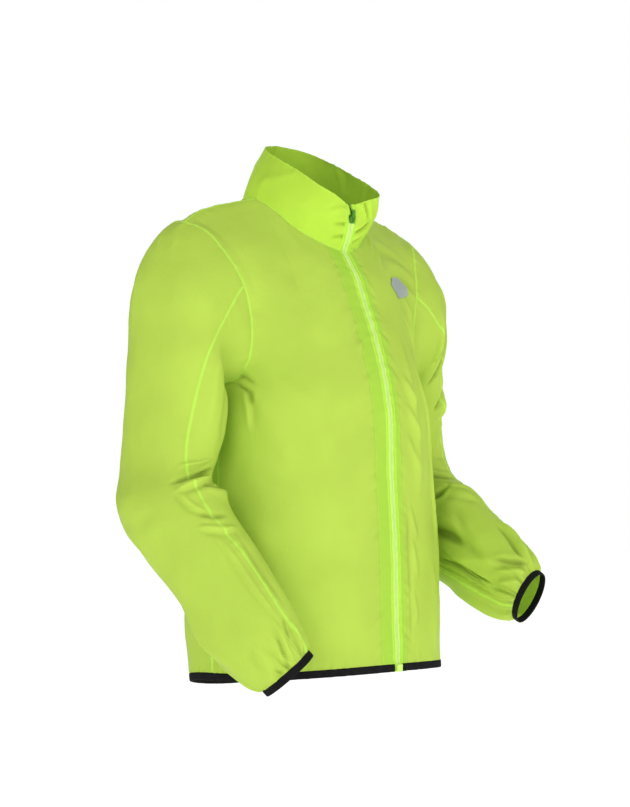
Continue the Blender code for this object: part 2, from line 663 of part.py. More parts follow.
def build_facings(grids, normals):
    """The strips that lie behind each front along the zip and show through it."""
    for side in ("right", "left"):
        grid, out = grids[f"front_{side}"][:-1], normals[f"front_{side}"][:-1]
        if side == "right":
            grid, out = grid[:, ::-1], out[:, ::-1]
        distances = np.linspace(SEAM_GAP, FACING_WIDTHS[side], FACING_STEPS + 1)
        lines = np.stack([points_at(row, row, distances) for row in grid])
        line_normals = np.stack([points_at(row, values, distances) for row, values in zip(grid, out)])
        lines = lines - line_normals * (CLOTH_WALL + SEAM_GAP)
        if side == "right":
            lines, line_normals = lines[:, ::-1], line_normals[:, ::-1]
        piece = wall(f"zip_facing_{side}", lines, line_normals, FACING_WALL)
        painted(piece, "neon_cloth", NEON_CLOTH)


def on_zip(points, normals, z):
    """The zip's face and its outward normal at a height."""
    order = np.argsort(points[:, 2])
    place = np.array([np.interp(z, points[order, 2], points[order, axis]) for axis in range(3)])
    out = np.array([np.interp(z, points[order, 2], normals[order, axis]) for axis in range(3)])
    return place, out / np.linalg.norm(out)


def build_slider(points, normals):
    """The slider with its bridge, the hinged pull, the cloth garage above and the box at the hem."""
    place, out = on_zip(points, normals, SLIDER_HEIGHT)
    lean = np.arctan2(out[2], -out[1])
    clear = SEAM_GAP - TAPE_SUNK
    width, depth, height = SLIDER_SIZE
    centre = place + out * (clear + depth / 2)
    body = block("zip_slider", centre, (width, depth, height), -lean)
    face = clear + depth
    bridge_middle = place + out * (face + BRIDGE_SIZE[1] / 2 - BRIDGE_SUNK)
    combine(body, block("slider_bridge", bridge_middle, BRIDGE_SIZE, -lean), "UNION")
    pin = place + out * (face + PIN_ABOVE_BODY)
    combine(body, block("bridge_window", pin, BRIDGE_WINDOW, -lean, rounded=False), "DIFFERENCE")
    painted(body, "pull_enamel", PULL_ENAMEL)
    build_pull(pin, -lean)
    top, top_out = on_zip(points, normals, points[-1, 2] - GARAGE_HEIGHT / 2)
    up = np.array([0.0, top_out[2], -top_out[1]])
    lift = clear + GARAGE_LIFT
    rows = [top + up * GARAGE_HEIGHT * share + top_out * lift for share in (-0.5, 0.0, 0.5)]
    sides = [-GARAGE_HALF_WIDTH, 0.0, GARAGE_HALF_WIDTH]
    outer = np.array([[row + np.array([x, 0, 0]) for x in sides] for row in rows])
    garage = wall("zip_garage", outer, np.tile(top_out, (3, 3, 1)), GARAGE_WALL)
    painted(garage, "neon_cloth", NEON_CLOTH)
    low = on_zip(points, normals, points[0, 2] + BOX_SIZE[2] / 2)
    box = block("zip_box", low[0] + low[1] * (clear + BOX_SIZE[1] / 2), BOX_SIZE)
    painted(box, "pull_enamel", PULL_ENAMEL)


def combine(solid, tool, operation):
    """Unites a solid with a second one, or cuts it, and leaves the second as a hidden helper."""
    modifier = solid.modifiers.new(tool.name, "BOOLEAN")
    modifier.operation = operation
    modifier.object = tool
    tool.hide_render = True
    tool.display_type = "WIRE"


def build_pull(pin, lean):
    """The pull tab: it hinges about X under the slider's bridge, and is left turned up."""
    hinge = bpy.data.objects.new("pull_hinge", None)
    hinge.location = pin
    hinge.rotation_euler.x = lean
    bpy.context.scene.collection.objects.link(hinge)
    tab = block("zip_pull", (0, 0, PULL_SIZE[2] / 2 - PULL_HEEL), PULL_SIZE)
    slot = block("pull_slot", (0, 0, PULL_HEEL + PULL_SLOT[2] / 2), PULL_SLOT, rounded=False)
    combine(tab, slot, "DIFFERENCE")
    for piece in (tab, slot):
        piece.parent = hinge
    painted(tab, "pull_enamel", PULL_ENAMEL)


def build_patch():
    """A plain reflective patch on the left chest, made from the front's own points, moved out."""
    across = np.linspace(*PATCH_ACROSS, PATCH_STEPS + 1)
    heights = np.linspace(*PATCH_HEIGHTS, PATCH_STEPS + 1)
    under = panel_points(across, heights, True)
    normals = shared_normals([under])[0]
    outer = under + normals * (PATCH_LIFT + PATCH_WALL)
    piece = wall("chest_patch", outer, normals, PATCH_WALL)
    painted(piece, "silver_film", SILVER_FILM)


def main():
    """Clears the scene and builds the jacket."""
    for old in list(bpy.data.objects):
        bpy.data.objects.remove(old)
    grids, normals = cloth_grids()
    build_cloth(grids, normals)
    build_bindings(grids, normals)
    points, zip_normals = zip_line()
    build_zip(points, zip_normals)
    build_facings(grids, normals)
    build_slider(points, zip_normals)
    build_patch()


main()
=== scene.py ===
"""Looks of a thin riding wind jacket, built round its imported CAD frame, in metres with +Z up.

The wearer's right is -X and the front faces -Y.  Each cut piece of cloth is a grid of points: rows go
up and columns go from left to right, seen from outside, and the pieces share the points of a seam.
"""

import logging
from dataclasses import dataclass, field
from enum import Enum
from functools import cache
from typing import NamedTuple

import bpy
import numpy as np
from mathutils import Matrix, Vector


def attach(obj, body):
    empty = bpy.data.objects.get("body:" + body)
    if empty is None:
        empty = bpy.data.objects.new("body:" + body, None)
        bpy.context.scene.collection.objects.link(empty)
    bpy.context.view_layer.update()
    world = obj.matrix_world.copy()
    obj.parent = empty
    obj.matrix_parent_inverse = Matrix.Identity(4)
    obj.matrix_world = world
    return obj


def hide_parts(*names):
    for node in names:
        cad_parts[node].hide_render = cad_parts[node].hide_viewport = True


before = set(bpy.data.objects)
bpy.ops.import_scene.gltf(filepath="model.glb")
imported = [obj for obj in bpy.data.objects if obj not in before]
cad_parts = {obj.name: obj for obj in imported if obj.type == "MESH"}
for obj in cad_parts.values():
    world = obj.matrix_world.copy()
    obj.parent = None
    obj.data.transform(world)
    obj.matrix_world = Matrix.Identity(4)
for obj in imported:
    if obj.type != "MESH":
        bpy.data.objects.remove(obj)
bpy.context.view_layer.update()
GARMENT = "garment"
MM = 0.001
MIRROR = np.array([-1.0, 1.0, 1.0])
SAME_POINT_DECIMALS = 6
Piece = bpy.types.Object
Socket = bpy.types.NodeSocket

log = logging.getLogger("jacket")


class Side(Enum):
    """The wearer's sides, with the sign of X there."""

    RIGHT = -1
    LEFT = 1

    @property
    def word(self) -> str:
        """The side's name in lower case, as node names use it."""
        return self.name.lower()


# ---- Rows of the tables ------------------------------------------------------------------------

class Depth(NamedTuple):
    """How far the body's middle line stands from the origin's plane at a height."""

    z: float
    depth: float


class Middle(NamedTuple):
    """The heights of the front's and the back's middle line at a panel height."""

    height: float
    front_z: float
    back_z: float


class Edge(NamedTuple):
    """A point of a seam, out from the body's middle plane."""

    out: float
    y: float
    z: float


class Turn(NamedTuple):
    """How a row leaves the middle and meets the panel's outer edge."""

    height: float
    degrees: float
    middle_pull: float
    edge_pull: float


class Ring(NamedTuple):
    """A ring of a sleeve: its centre, tilts, half widths and where the two seams cross it."""

    out: float
    y: float
    z: float
    raise_out: float
    raise_front: float
    turn: float
    half_out: float
    half_front: float
    front_seam: float
    back_seam: float


class Fold(NamedTuple):
    """One of the largest folds, from a point to a point, raised or sunk about its line."""

    x0: float
    y0: float
    z0: float
    x1: float
    y1: float
    z1: float
    half_width: float
    height: float


class Crease(NamedTuple):
    """A soft crease on a piece: ends in the piece's own places, its bow, width and height."""

    u0: float
    v0: float
    u1: float
    v1: float
    bow: float
    width: float
    height: float


class Pucker(NamedTuple):
    """The small waves that sewing leaves along a seam."""

    height: float
    length: float
    reach: float


# ---- Curves -------------------------------------------------------------------------------------

def hermite(part: np.ndarray, start: object, leaving: object, end: object, arriving: object) -> np.ndarray:
    """The cubic that leaves the start and arrives at the end with the given slopes, as part goes 0 to 1."""
    return (
        (2 * part**3 - 3 * part**2 + 1) * start
        + (part**3 - 2 * part**2 + part) * leaving
        + (3 * part**2 - 2 * part**3) * end
        + (part**3 - part**2) * arriving
    )


def through(knots: np.ndarray, values: np.ndarray, at: np.ndarray) -> np.ndarray:
    """A smooth curve through values at rising knots.

    Args:
        knots: rising numbers, one for each value.
        values: what the curve passes through, one row for each knot.
        at: where the curve is read.

    Returns:
        One row of values for each number in at.
    """
    knots = np.asarray(knots, float)
    values = np.asarray(values, float).reshape(len(knots), -1)
    at = np.clip(np.asarray(at, float), knots[0], knots[-1])
    gaps = np.diff(knots)[:, None]
    slopes = np.diff(values, axis=0) / gaps
    tangents = np.empty_like(values)
    tangents[0], tangents[-1] = slopes[0], slopes[-1]
    tangents[1:-1] = (slopes[:-1] * gaps[1:] + slopes[1:] * gaps[:-1]) / (gaps[:-1] + gaps[1:])
    index = np.clip(np.searchsorted(knots, at, side="right") - 1, 0, len(knots) - 2)
    gap = gaps[index]
    part = ((at - knots[index]) / gap[:, 0])[:, None]
    return hermite(part, values[index], gap * tangents[index], values[index + 1], gap * tangents[index + 1])


def distances_along(points: np.ndarray, axis: int = 0) -> np.ndarray:
    """How far each point lies from the first one of its line, or of its row or column of a grid."""
    sums = np.cumsum(np.linalg.norm(np.diff(np.asarray(points, float), axis=axis), axis=-1), axis=axis)
    return np.concatenate([np.zeros_like(np.take(sums, [0], axis=axis)), sums], axis=axis)


def along(table: tuple, parts: np.ndarray) -> np.ndarray:
    """Points at the given parts, 0 to 1 by length, of the smooth curve through a table of points."""
    sums = distances_along(np.array(table))
    return through(sums / sums[-1], np.array(table), parts)


def read_along(line: np.ndarray, values: np.ndarray, distances: np.ndarray) -> np.ndarray:
    """What belongs to the points of a line, read at distances from its first point."""
    sums = distances_along(line)
    return np.stack([np.interp(distances, sums, values[:, axis]) for axis in range(values.shape[1])], axis=1)


def soft_step(low: float, high: float, values: np.ndarray) -> np.ndarray:
    """0 at low and 1 at high, smooth between them; low may be the greater one."""
    part = np.clip((values - low) / (high - low), 0, 1)
    return part * part * (3 - 2 * part)


@dataclass(frozen=True)
class Waves:
    """Smooth, even unrest in space: a sum of seeded plane waves of about one length."""

    length: float
    seed: int
    count: int = 14
    rates: tuple = (0.75, 1.35)

    def at(self, points: np.ndarray) -> np.ndarray:
        """The unrest at each point, mostly between -1 and 1."""
        dice = np.random.default_rng(self.seed)
        ways = dice.normal(size=(self.count, 3))
        ways /= np.linalg.norm(ways, axis=1, keepdims=True)
        ways *= dice.uniform(*self.rates, (self.count, 1)) * 2 * np.pi / self.length
        starts = dice.uniform(0, 2 * np.pi, self.count)
        return np.sin(points @ ways.T + starts).sum(axis=-1) / np.sqrt(self.count)


# ---- The form of the cloth ----------------------------------------------------------------------

@dataclass
class Panel:
    """One cut piece: its points, its places on the cut in metres, and what is sewn there."""

    name: str
    points: np.ndarray
    places: np.ndarray
    normals: np.ndarray = field(default_factory=lambda: np.zeros(0))
    seam: np.ndarray = field(default_factory=lambda: np.zeros(0))
    doubled: np.ndarray = field(default_factory=lambda: np.zeros(0))
    # fold: the narrow creases' and ripples' heights, which the material turns into painted shade in troughs and
    # painted highlights on ridges.
    fold: np.ndarray = field(default_factory=lambda: np.zeros(0))

    @property
    def side(self) -> Side | None:
        """The wearer's side of a front, or None for any other piece."""
        return Side[self.name.split("_")[1].upper()] if self.name.startswith("front") else None

    @property
    def zip_edge(self) -> str:
        """The edge of a front that is sewn to the zip."""
        return "right" if self.side is Side.RIGHT else "left"

    def own_normals(self) -> np.ndarray:
        """The outward normal at each point, from this piece alone."""
        grid = self.points
        faces = np.cross(grid[:-1, 1:] - grid[1:, :-1], grid[1:, 1:] - grid[:-1, :-1])
        sums = np.zeros(grid.shape)
        for rows in (slice(None, -1), slice(1, None)):
            for columns in (slice(None, -1), slice(1, None)):
                sums[rows, columns] += faces
        return sums / np.linalg.norm(sums, axis=-1, keepdims=True)


Panels = dict[str, Panel]


def share_normals(panels: list[Panel]) -> None:
    """Gives the panels outward normals that agree where they meet."""
    points = np.concatenate([panel.points.reshape(-1, 3) for panel in panels])
    normals = np.concatenate([panel.own_normals().reshape(-1, 3) for panel in panels])
    _, keys = np.unique(np.round(points, SAME_POINT_DECIMALS), axis=0, return_inverse=True)
    keys = keys.reshape(-1)
    sums = np.zeros((keys.max() + 1, 3))
    np.add.at(sums, keys, normals)
    sums /= np.linalg.norm(sums, axis=1, keepdims=True)
    ends = np.cumsum([panel.points.shape[0] * panel.points.shape[1] for panel in panels])[:-1]
    for panel, part in zip(panels, np.split(sums[keys], ends)):
        panel.normals = part.reshape(panel.points.shape)


@dataclass(frozen=True)
class BodyForm:
    """The shape of the fronts and the back, the same as the CAD solids', at any fineness."""

    zip_half_width: float = 0.0085
    neck_steps: int = 6
    shoulder_steps: int = 6
    side_steps: int = 12
    armhole_steps: int = 12
    columns_finer: int = 8
    side_finer: int = 10
    armhole_finer: int = 7
    seam_top: float = 2.0
    yoke_start: float = 1.55
    yoke_step: float = 0.05
    front_depths: tuple = (
        Depth(-0.654, 0.161), Depth(-0.587, 0.1575), Depth(-0.518, 0.156), Depth(-0.449, 0.153),
        Depth(-0.380, 0.148), Depth(-0.311, 0.1465), Depth(-0.255, 0.137), Depth(-0.2105, 0.124),
        Depth(-0.146, 0.099), Depth(-0.111, 0.085), Depth(-0.073, 0.061),
    )
    back_depths: tuple = (
        Depth(-0.680, 0.136), Depth(-0.640, 0.145), Depth(-0.600, 0.149), Depth(-0.500, 0.139),
        Depth(-0.400, 0.129), Depth(-0.300, 0.124), Depth(-0.200, 0.123), Depth(-0.120, 0.119),
        Depth(-0.060, 0.108), Depth(-0.020, 0.093), Depth(0.005, 0.080),
    )
    middles: tuple = (
        Middle(0.0, -0.648, -0.680), Middle(1.0, -0.270, -0.270), Middle(2.0, -0.073, 0.005),
    )
    side_seam: tuple = (
        Edge(0.203, 0.000, -0.657), Edge(0.202, 0.002, -0.590), Edge(0.193, 0.006, -0.500),
        Edge(0.180, 0.011, -0.400), Edge(0.176, 0.016, -0.320), Edge(0.180, 0.020, -0.265),
    )
    front_armhole: tuple = (
        Edge(0.180, 0.020, -0.265), Edge(0.172, -0.010, -0.257), Edge(0.169, -0.035, -0.231),
        Edge(0.170, -0.043, -0.197), Edge(0.175, -0.043, -0.160), Edge(0.185, -0.039, -0.122),
        Edge(0.201, -0.023, -0.085), Edge(0.222, 0.001, -0.051), Edge(0.237, 0.021, -0.042),
    )
    back_armhole: tuple = (
        Edge(0.180, 0.020, -0.265), Edge(0.178, 0.054, -0.257), Edge(0.181, 0.083, -0.217),
        Edge(0.190, 0.096, -0.160), Edge(0.203, 0.094, -0.115), Edge(0.219, 0.077, -0.068),
        Edge(0.233, 0.048, -0.042), Edge(0.237, 0.021, -0.042),
    )
    turns: tuple = (
        Turn(0.0, 90, 0.57, 0.57), Turn(1.0, 90, 0.60, 0.60), Turn(1.25, 64, 0.56, 0.50),
        Turn(1.5, 48, 0.50, 0.42), Turn(1.75, 36, 0.45, 0.40), Turn(2.0, 25, 0.40, 0.40),
    )
    front_neck: tuple = (
        Edge(0.0085, -0.061, -0.073), Edge(0.043, -0.051, -0.061), Edge(0.073, -0.030, -0.041),
        Edge(0.089, -0.006, -0.017), Edge(0.095, 0.020, 0.000),
    )
    back_neck: tuple = (
        Edge(0.000, 0.080, 0.005), Edge(0.050, 0.075, 0.004), Edge(0.080, 0.059, 0.003),
        Edge(0.092, 0.040, 0.001), Edge(0.095, 0.020, 0.000),
    )
    shoulder_seam: tuple = (
        Edge(0.095, 0.020, 0.000), Edge(0.150, 0.026, -0.011), Edge(0.200, 0.027, -0.024),
        Edge(0.237, 0.021, -0.042),
    )
    front_arrivals: tuple = (
        Edge(0.0, 0.050, 0.075), Edge(0.0, 0.085, 0.045), Edge(0.0, 0.075, 0.026),
    )
    back_arrivals: tuple = (
        Edge(0.0, -0.030, 0.085), Edge(0.0, -0.078, 0.008), Edge(0.0, -0.080, -0.034),
    )

    def steps(self) -> tuple[np.ndarray, np.ndarray]:
        """Where a panel's columns and rows lie, 0 to 1 across and 0 to 2 up."""
        across = np.linspace(0, 1, (self.neck_steps + self.shoulder_steps) * self.columns_finer + 1)
        low = np.linspace(0, 1, self.side_steps * self.side_finer + 1)[:-1]
        high = np.linspace(1, self.seam_top, self.armhole_steps * self.armhole_finer + 1)
        return across, np.concatenate([low, high])

    def edge_points(self, heights: np.ndarray, is_front: bool) -> np.ndarray:
        """The outer edge: the side seam up to the armpit, then the armhole."""
        low = along(self.side_seam, np.minimum(heights, 1.0))
        armhole = self.front_armhole if is_front else self.back_armhole
        high = along(armhole, np.clip(heights - 1.0, 0.0, 1.0))
        return np.where((heights <= 1.0)[:, None], low, high)

    def middle_points(self, heights: np.ndarray, is_front: bool) -> np.ndarray:
        """The edge at the body's middle, where x is the zip's half width, or 0 on the back."""
        middles = np.array(self.middles)
        z = np.interp(heights, middles[:, 0], middles[:, 1 if is_front else 2])
        depths = np.array(self.front_depths if is_front else self.back_depths)
        depth = through(depths[:, 0], depths[:, 1], z)[:, 0]
        x = np.full(len(heights), self.zip_half_width if is_front else 0.0)
        return np.stack([x, -depth if is_front else depth, z], axis=1)

    def level_rows(self, across: np.ndarray, heights: np.ndarray, is_front: bool) -> np.ndarray:
        """Rows from the middle to the outer edge, each one a single bent sweep."""
        middle = self.middle_points(heights, is_front)
        edge = self.edge_points(heights, is_front)
        turns = through([row.height for row in self.turns], self.turns, heights)
        angle = np.radians(turns[:, 1])
        span = edge - middle
        first = middle + np.stack([turns[:, 2] * span[:, 0], 0 * angle, 0 * angle], axis=1)
        pull_x = turns[:, 3] * np.cos(angle) * span[:, 0]
        pull_y = turns[:, 3] * np.sin(angle) * span[:, 1]
        last = edge - np.stack([pull_x, pull_y, 0 * angle], axis=1)
        t = across[None, :, None]
        return (
            (1 - t) ** 3 * middle[:, None]
            + 3 * (1 - t) ** 2 * t * first[:, None]
            + 3 * (1 - t) * t**2 * last[:, None]
            + t**3 * edge[:, None]
        )

    def top_edge(self, across: np.ndarray, is_front: bool) -> tuple[np.ndarray, np.ndarray]:
        """The neckline and the shoulder seam, with the way the cloth arrives there."""
        neck_share = self.neck_steps / (self.neck_steps + self.shoulder_steps)
        on_neck = along(self.front_neck if is_front else self.back_neck, np.clip(across / neck_share, 0, 1))
        on_shoulder = along(self.shoulder_seam, np.clip((across - neck_share) / (1 - neck_share), 0, 1))
        points = np.where((across < neck_share)[:, None], on_neck, on_shoulder)
        arrivals = self.front_arrivals if is_front else self.back_arrivals
        return points, through([0.0, neck_share, 1.0], arrivals, across)

    def points(self, inner_across: np.ndarray, heights: np.ndarray, is_front: bool) -> np.ndarray:
        """A front or half of the back, where x is positive: a row of points for each height."""
        across = np.concatenate([[0.0], inner_across, [1.0]])
        rows = self.level_rows(across, np.minimum(heights, self.yoke_start), is_front)
        before = self.level_rows(across, np.array([self.yoke_start - self.yoke_step]), is_front)[0]
        start = self.level_rows(across, np.array([self.yoke_start]), is_front)[0]
        rise = (start - before) / self.yoke_step * (self.seam_top - self.yoke_start)
        top, arrivals = self.top_edge(across, is_front)
        t = np.clip((heights - self.yoke_start) / (self.seam_top - self.yoke_start), 0, 1)[:, None, None]
        yoke = hermite(t, start, rise, top, arrivals)
        outward = (across**3)[None, :, None]
        inward = ((1 - across) ** 3)[None, :, None]
        edge, middle = self.edge_points(heights, is_front), self.middle_points(heights, is_front)
        yoke = yoke + outward * (edge - yoke[:, -1])[:, None] + inward * (middle - yoke[:, 0])[:, None]
        return np.where((heights > self.yoke_start)[:, None, None], yoke, rows)[:, 1:-1]

    def places(self, points: np.ndarray, heights: np.ndarray, is_front: bool) -> np.ndarray:
        """Places on the cut: metres from the middle line along a row, and the height it starts at."""
        out = distances_along(points, 1)
        z = self.middle_points(heights, is_front)[:, 2]
        return np.stack([out, np.repeat(z[:, None], out.shape[1], axis=1)], axis=-1)

    def panels(self) -> list[Panel]:
        """The right front, the left front and the back."""
        flip = MIRROR[:2]
        across, heights = self.steps()
        front = self.points(across, heights, True)
        front_places = self.places(front, heights, True)
        back = self.points(across, heights, False)
        back_places = self.places(back, heights, False)
        whole = np.concatenate([back[:, ::-1], back[:, 1:] * MIRROR], axis=1)
        whole_places = np.concatenate([back_places[:, ::-1], back_places[:, 1:] * flip], axis=1)
        return [
            Panel("front_right", front[:, ::-1] * MIRROR, front_places[:, ::-1] * flip),
            Panel("front_left", front, front_places),
            Panel("back", whole, whole_places),
        ]


@dataclass(frozen=True)
class CollarForm:
    """The stand collar, round the neck seam from the left zip edge to the right one."""

    body: BodyForm
    steps: int = 5
    finer: int = 6
    bulge: float = 0.006
    top_right: tuple = (
        Edge(0.0085, -0.0735, -0.008), Edge(0.024, -0.068, 0.003), Edge(0.042, -0.052, 0.0175),
        Edge(0.055, -0.028, 0.0365), Edge(0.061, 0.000, 0.053), Edge(0.056, 0.030, 0.067),
        Edge(0.037, 0.056, 0.079), Edge(0.000, 0.069, 0.085),
    )
    top_left: tuple = (
        Edge(0.0085, -0.0735, -0.008), Edge(0.030, -0.077, -0.001), Edge(0.056, -0.076, 0.006),
        Edge(0.076, -0.060, 0.014), Edge(0.085, -0.032, 0.029), Edge(0.083, -0.004, 0.044),
        Edge(0.072, 0.024, 0.061), Edge(0.045, 0.053, 0.078), Edge(0.000, 0.069, 0.085),
    )

    def half(self, top_table: tuple) -> np.ndarray:
        """Half of the collar, from the zip to the back's middle, where x is positive."""
        count = self.body.neck_steps * self.body.columns_finer
        front = along(self.body.front_neck, np.linspace(0, 1, count + 1))
        back = along(self.body.back_neck, np.linspace(1, 0, count + 1))
        base = np.concatenate([front, back[1:]])
        sums = distances_along(base)
        top = along(top_table, sums / sums[-1])
        rows = np.linspace(0, 1, self.steps * self.finer + 1)[:, None, None]
        outward = base * np.array([1.0, 1.0, 0.0])
        outward /= np.linalg.norm(outward, axis=1, keepdims=True)
        return base + (top - base) * rows + outward * self.bulge * np.sin(np.pi * rows)

    def panel(self) -> Panel:
        """The whole collar, its places in metres from the back's middle and up from the neck seam."""
        left = self.half(self.top_left)
        right = self.half(self.top_right)[:, ::-1] * MIRROR
        points = np.concatenate([left, right[:, 1:]], axis=1)
        out = distances_along(points, 1)
        out = out[:, left.shape[1] - 1][:, None] - out
        return Panel("collar", points, np.stack([out, distances_along(points)], axis=-1))


@dataclass(frozen=True)
class SleeveForm:
    """A sleeve's shape: rings from the armhole to the cuff, and its two seams."""

    body: BodyForm
    side: Side
    rings: tuple
    rows_per_ring: tuple = (2, 2, 2, 2, 3, 3, 3, 3, 2, 1)
    finer: int = 9
    front_seam_step: int = 5
    back_seam_step: int = 19
    underarm: float = 180.0
    mean_radius: float = 0.065
    leaving_side: float = 0.060
    leaving_swing: float = 0.030
    leaving_front: float = 0.040
    leaving_drop: float = 0.015

    def angles(self, front_seam: float, back_seam: float) -> np.ndarray:
        """The angle of each lengthwise line, with lines on both seams."""
        steps = 2 * self.body.armhole_steps
        count = steps * self.body.armhole_finer
        knots = [0, self.front_seam_step, self.body.armhole_steps, self.back_seam_step, steps]
        at = np.arange(count) / self.body.armhole_finer
        return np.radians(np.interp(at, knots, [0, front_seam, self.underarm, back_seam, 360]))

    def armhole(self) -> np.ndarray:
        """The armhole from the shoulder's tip down the front, under the arm and up the back."""
        parts = np.linspace(1, 0, self.body.armhole_steps * self.body.armhole_finer + 1)
        front = along(self.body.front_armhole, parts)
        back = along(self.body.back_armhole, parts[::-1])
        return np.concatenate([front, back[1:-1]])

    def ring_points(self, ring: Ring) -> np.ndarray:
        """One ring, where x is positive."""
        angles = self.angles(ring.front_seam, ring.back_seam)[:, None]
        out, front, turn = np.radians([ring.raise_out, ring.raise_front, ring.turn])
        to_side = np.array([np.cos(out) * np.cos(turn), -np.cos(out) * np.sin(turn), np.sin(out)])
        to_front = np.array([-np.cos(front) * np.sin(turn), -np.cos(front) * np.cos(turn), np.sin(front)])
        centre = np.array([ring.out, ring.y, ring.z])
        return centre + ring.half_out * np.cos(angles) * to_side + ring.half_front * np.sin(angles) * to_front

    def lines(self) -> np.ndarray:
        """The lengthwise lines, rows going up from the cuff, where x is positive."""
        loops = np.stack([self.armhole()] + [self.ring_points(ring) for ring in self.rings])
        even = self.underarm / self.body.armhole_steps
        angles = self.angles(even * self.front_seam_step, even * self.back_seam_step)
        under, over = np.maximum(-np.cos(angles), 0), np.maximum(np.cos(angles), 0)
        out = self.leaving_side + self.leaving_swing * (over - under)
        leaving = np.stack([out, -self.leaving_front * np.sin(angles), self.leaving_drop * (under - 1)], axis=1)
        loops = np.concatenate([[loops[0] - leaving], loops])
        rows = [
            np.linspace(ring, ring + 1, steps * self.finer, endpoint=False)
            for ring, steps in enumerate(self.rows_per_ring)
        ]
        at = np.concatenate(rows + [[float(len(self.rings))]])
        flat = through(np.arange(len(loops)) - 1.0, loops.reshape(len(loops), -1), at)
        return flat.reshape(len(at), -1, 3)[::-1]

    def panels(self) -> list[Panel]:
        """The outer and the under piece; places are metres round from the top line and down the arm."""
        lines = self.lines()
        centres = lines[::-1].mean(axis=1)
        down = distances_along(centres)[::-1]
        columns = lines.shape[1]
        finer = self.body.armhole_finer
        whole = 2 * np.pi * self.mean_radius
        round_arm = np.arange(columns) / columns * whole
        front, back = self.front_seam_step * finer, self.back_seam_step * finer
        outer = np.concatenate([lines[:, back:], lines[:, :front + 1]], axis=1)
        outer_round = np.concatenate([round_arm[back:] - whole, round_arm[:front + 1]])
        under, under_round = lines[:, front:back + 1], round_arm[front:back + 1]
        made = []
        for part, points, rounds in (("outer", outer, outer_round), ("under", under, under_round)):
            places = np.stack(np.broadcast_arrays(rounds[None, :], down[:, None]), axis=-1)
            if self.side is Side.RIGHT:
                points = points * MIRROR
            else:
                points, places = points[:, ::-1], places[:, ::-1]
            made.append(Panel(f"sleeve_{self.side.word}_{part}", points, places))
        return made


RIGHT_RINGS = (
    Ring(0.2405, 0.028, -0.183, 62, 0, 0, 0.0960, 0.075, 95, 288),
    Ring(0.2430, 0.027, -0.252, 43, 0, 0, 0.0775, 0.078, 70, 286),
    Ring(0.2500, 0.026, -0.318, 20, 3, 2, 0.0620, 0.0765, 56, 284),
    Ring(0.2620, 0.025, -0.372, 4, 10, 5, 0.0585, 0.0725, 55, 280),
    Ring(0.2810, 0.010, -0.420, -4, 24, 10, 0.0600, 0.0715, 66, 272),
    Ring(0.2770, -0.030, -0.468, -6, 32, 16, 0.0580, 0.0665, 62, 256),
    Ring(0.2680, -0.075, -0.520, -6, 34, 22, 0.0560, 0.0625, 64, 240),
    Ring(0.2600, -0.120, -0.585, -6, 34, 30, 0.0535, 0.0640, 62, 228),
    Ring(0.2480, -0.157, -0.628, -4, 39, 37, 0.0440, 0.0520, 66, 222),
    Ring(0.2415, -0.171, -0.6420, -3, 41, 42, 0.0365, 0.0400, 70, 220),
)
LEFT_RINGS = (
    Ring(0.2395, 0.028, -0.181, 62, 0, 0, 0.0940, 0.073, 93, 284),
    Ring(0.2400, 0.043, -0.252, 43, 2, 0, 0.0755, 0.073, 78, 286),
    Ring(0.2450, 0.049, -0.318, 20, 8, 0, 0.0600, 0.0740, 72, 280),
    Ring(0.2550, 0.052, -0.372, 4, 18, 0, 0.0585, 0.0745, 74, 270),
    Ring(0.2670, 0.037, -0.424, -2, 36, 2, 0.0600, 0.0760, 75, 250),
    Ring(0.2620, -0.026, -0.465, -2, 52, 2, 0.0570, 0.0710, 75, 226),
    Ring(0.2540, -0.087, -0.500, 0, 60, 0, 0.0545, 0.0645, 74, 212),
    Ring(0.2475, -0.138, -0.529, 0, 61, -5, 0.0520, 0.0605, 72, 206),
    Ring(0.2400, -0.183, -0.552, 0, 64, -10, 0.0440, 0.0520, 72, 204),
    Ring(0.2370, -0.201, -0.5600, 0, 66, -14, 0.0365, 0.0385, 72, 204),
)
FOLDS = (
    Fold(-0.215, -0.050, -0.392, -0.300, -0.040, -0.385, 0.013, -0.006),
    Fold(-0.215, -0.060, -0.412, -0.305, -0.055, -0.405, 0.015, 0.007),
    Fold(-0.300, 0.055, -0.455, -0.300, -0.030, -0.500, 0.018, -0.005),
    Fold(0.215, -0.050, -0.385, 0.300, -0.040, -0.380, 0.014, -0.006),
    Fold(0.210, -0.070, -0.425, 0.290, -0.075, -0.425, 0.016, 0.006),
    Fold(0.300, 0.080, -0.440, 0.300, 0.020, -0.480, 0.018, -0.005),
    Fold(0.090, -0.150, -0.300, 0.075, -0.155, -0.470, 0.018, 0.005),
    Fold(0.130, -0.120, -0.280, 0.120, -0.135, -0.520, 0.018, -0.004),
    Fold(-0.120, -0.130, -0.300, -0.100, -0.140, -0.480, 0.022, 0.003),
    Fold(-0.100, 0.120, -0.300, -0.060, 0.130, -0.480, 0.022, -0.005),
    Fold(0.110, 0.115, -0.290, 0.080, 0.130, -0.500, 0.022, -0.005),
)
FOLD_END_SHARE = 0.35


# ---- Meshes and finishes ------------------------------------------------------------------------

SHARP_DEGREES = 55.0


def grid_faces(rows: int, columns: int) -> np.ndarray:
    """The four-cornered faces of a thin wall: outer face, inner face and the edges between them.

    The inner face's points follow the outer ones, and each face has as many rows and columns as given.
    """
    behind = rows * columns
    column = np.arange(columns - 1)
    left = np.arange(rows - 1) * columns
    top, right = column + (rows - 1) * columns, left + columns - 1
    low = left[:, None] + column
    outer = np.stack([low, low + 1, low + 1 + columns, low + columns], axis=-1).reshape(-1, 4)
    rims = ((column + 1, column), (top, top + 1), (left, left + columns), (right + columns, right))
    edges = [np.stack([start, end, end + behind, start + behind], axis=-1) for start, end in rims]
    return np.concatenate([outer, outer[:, ::-1] + behind, *edges])


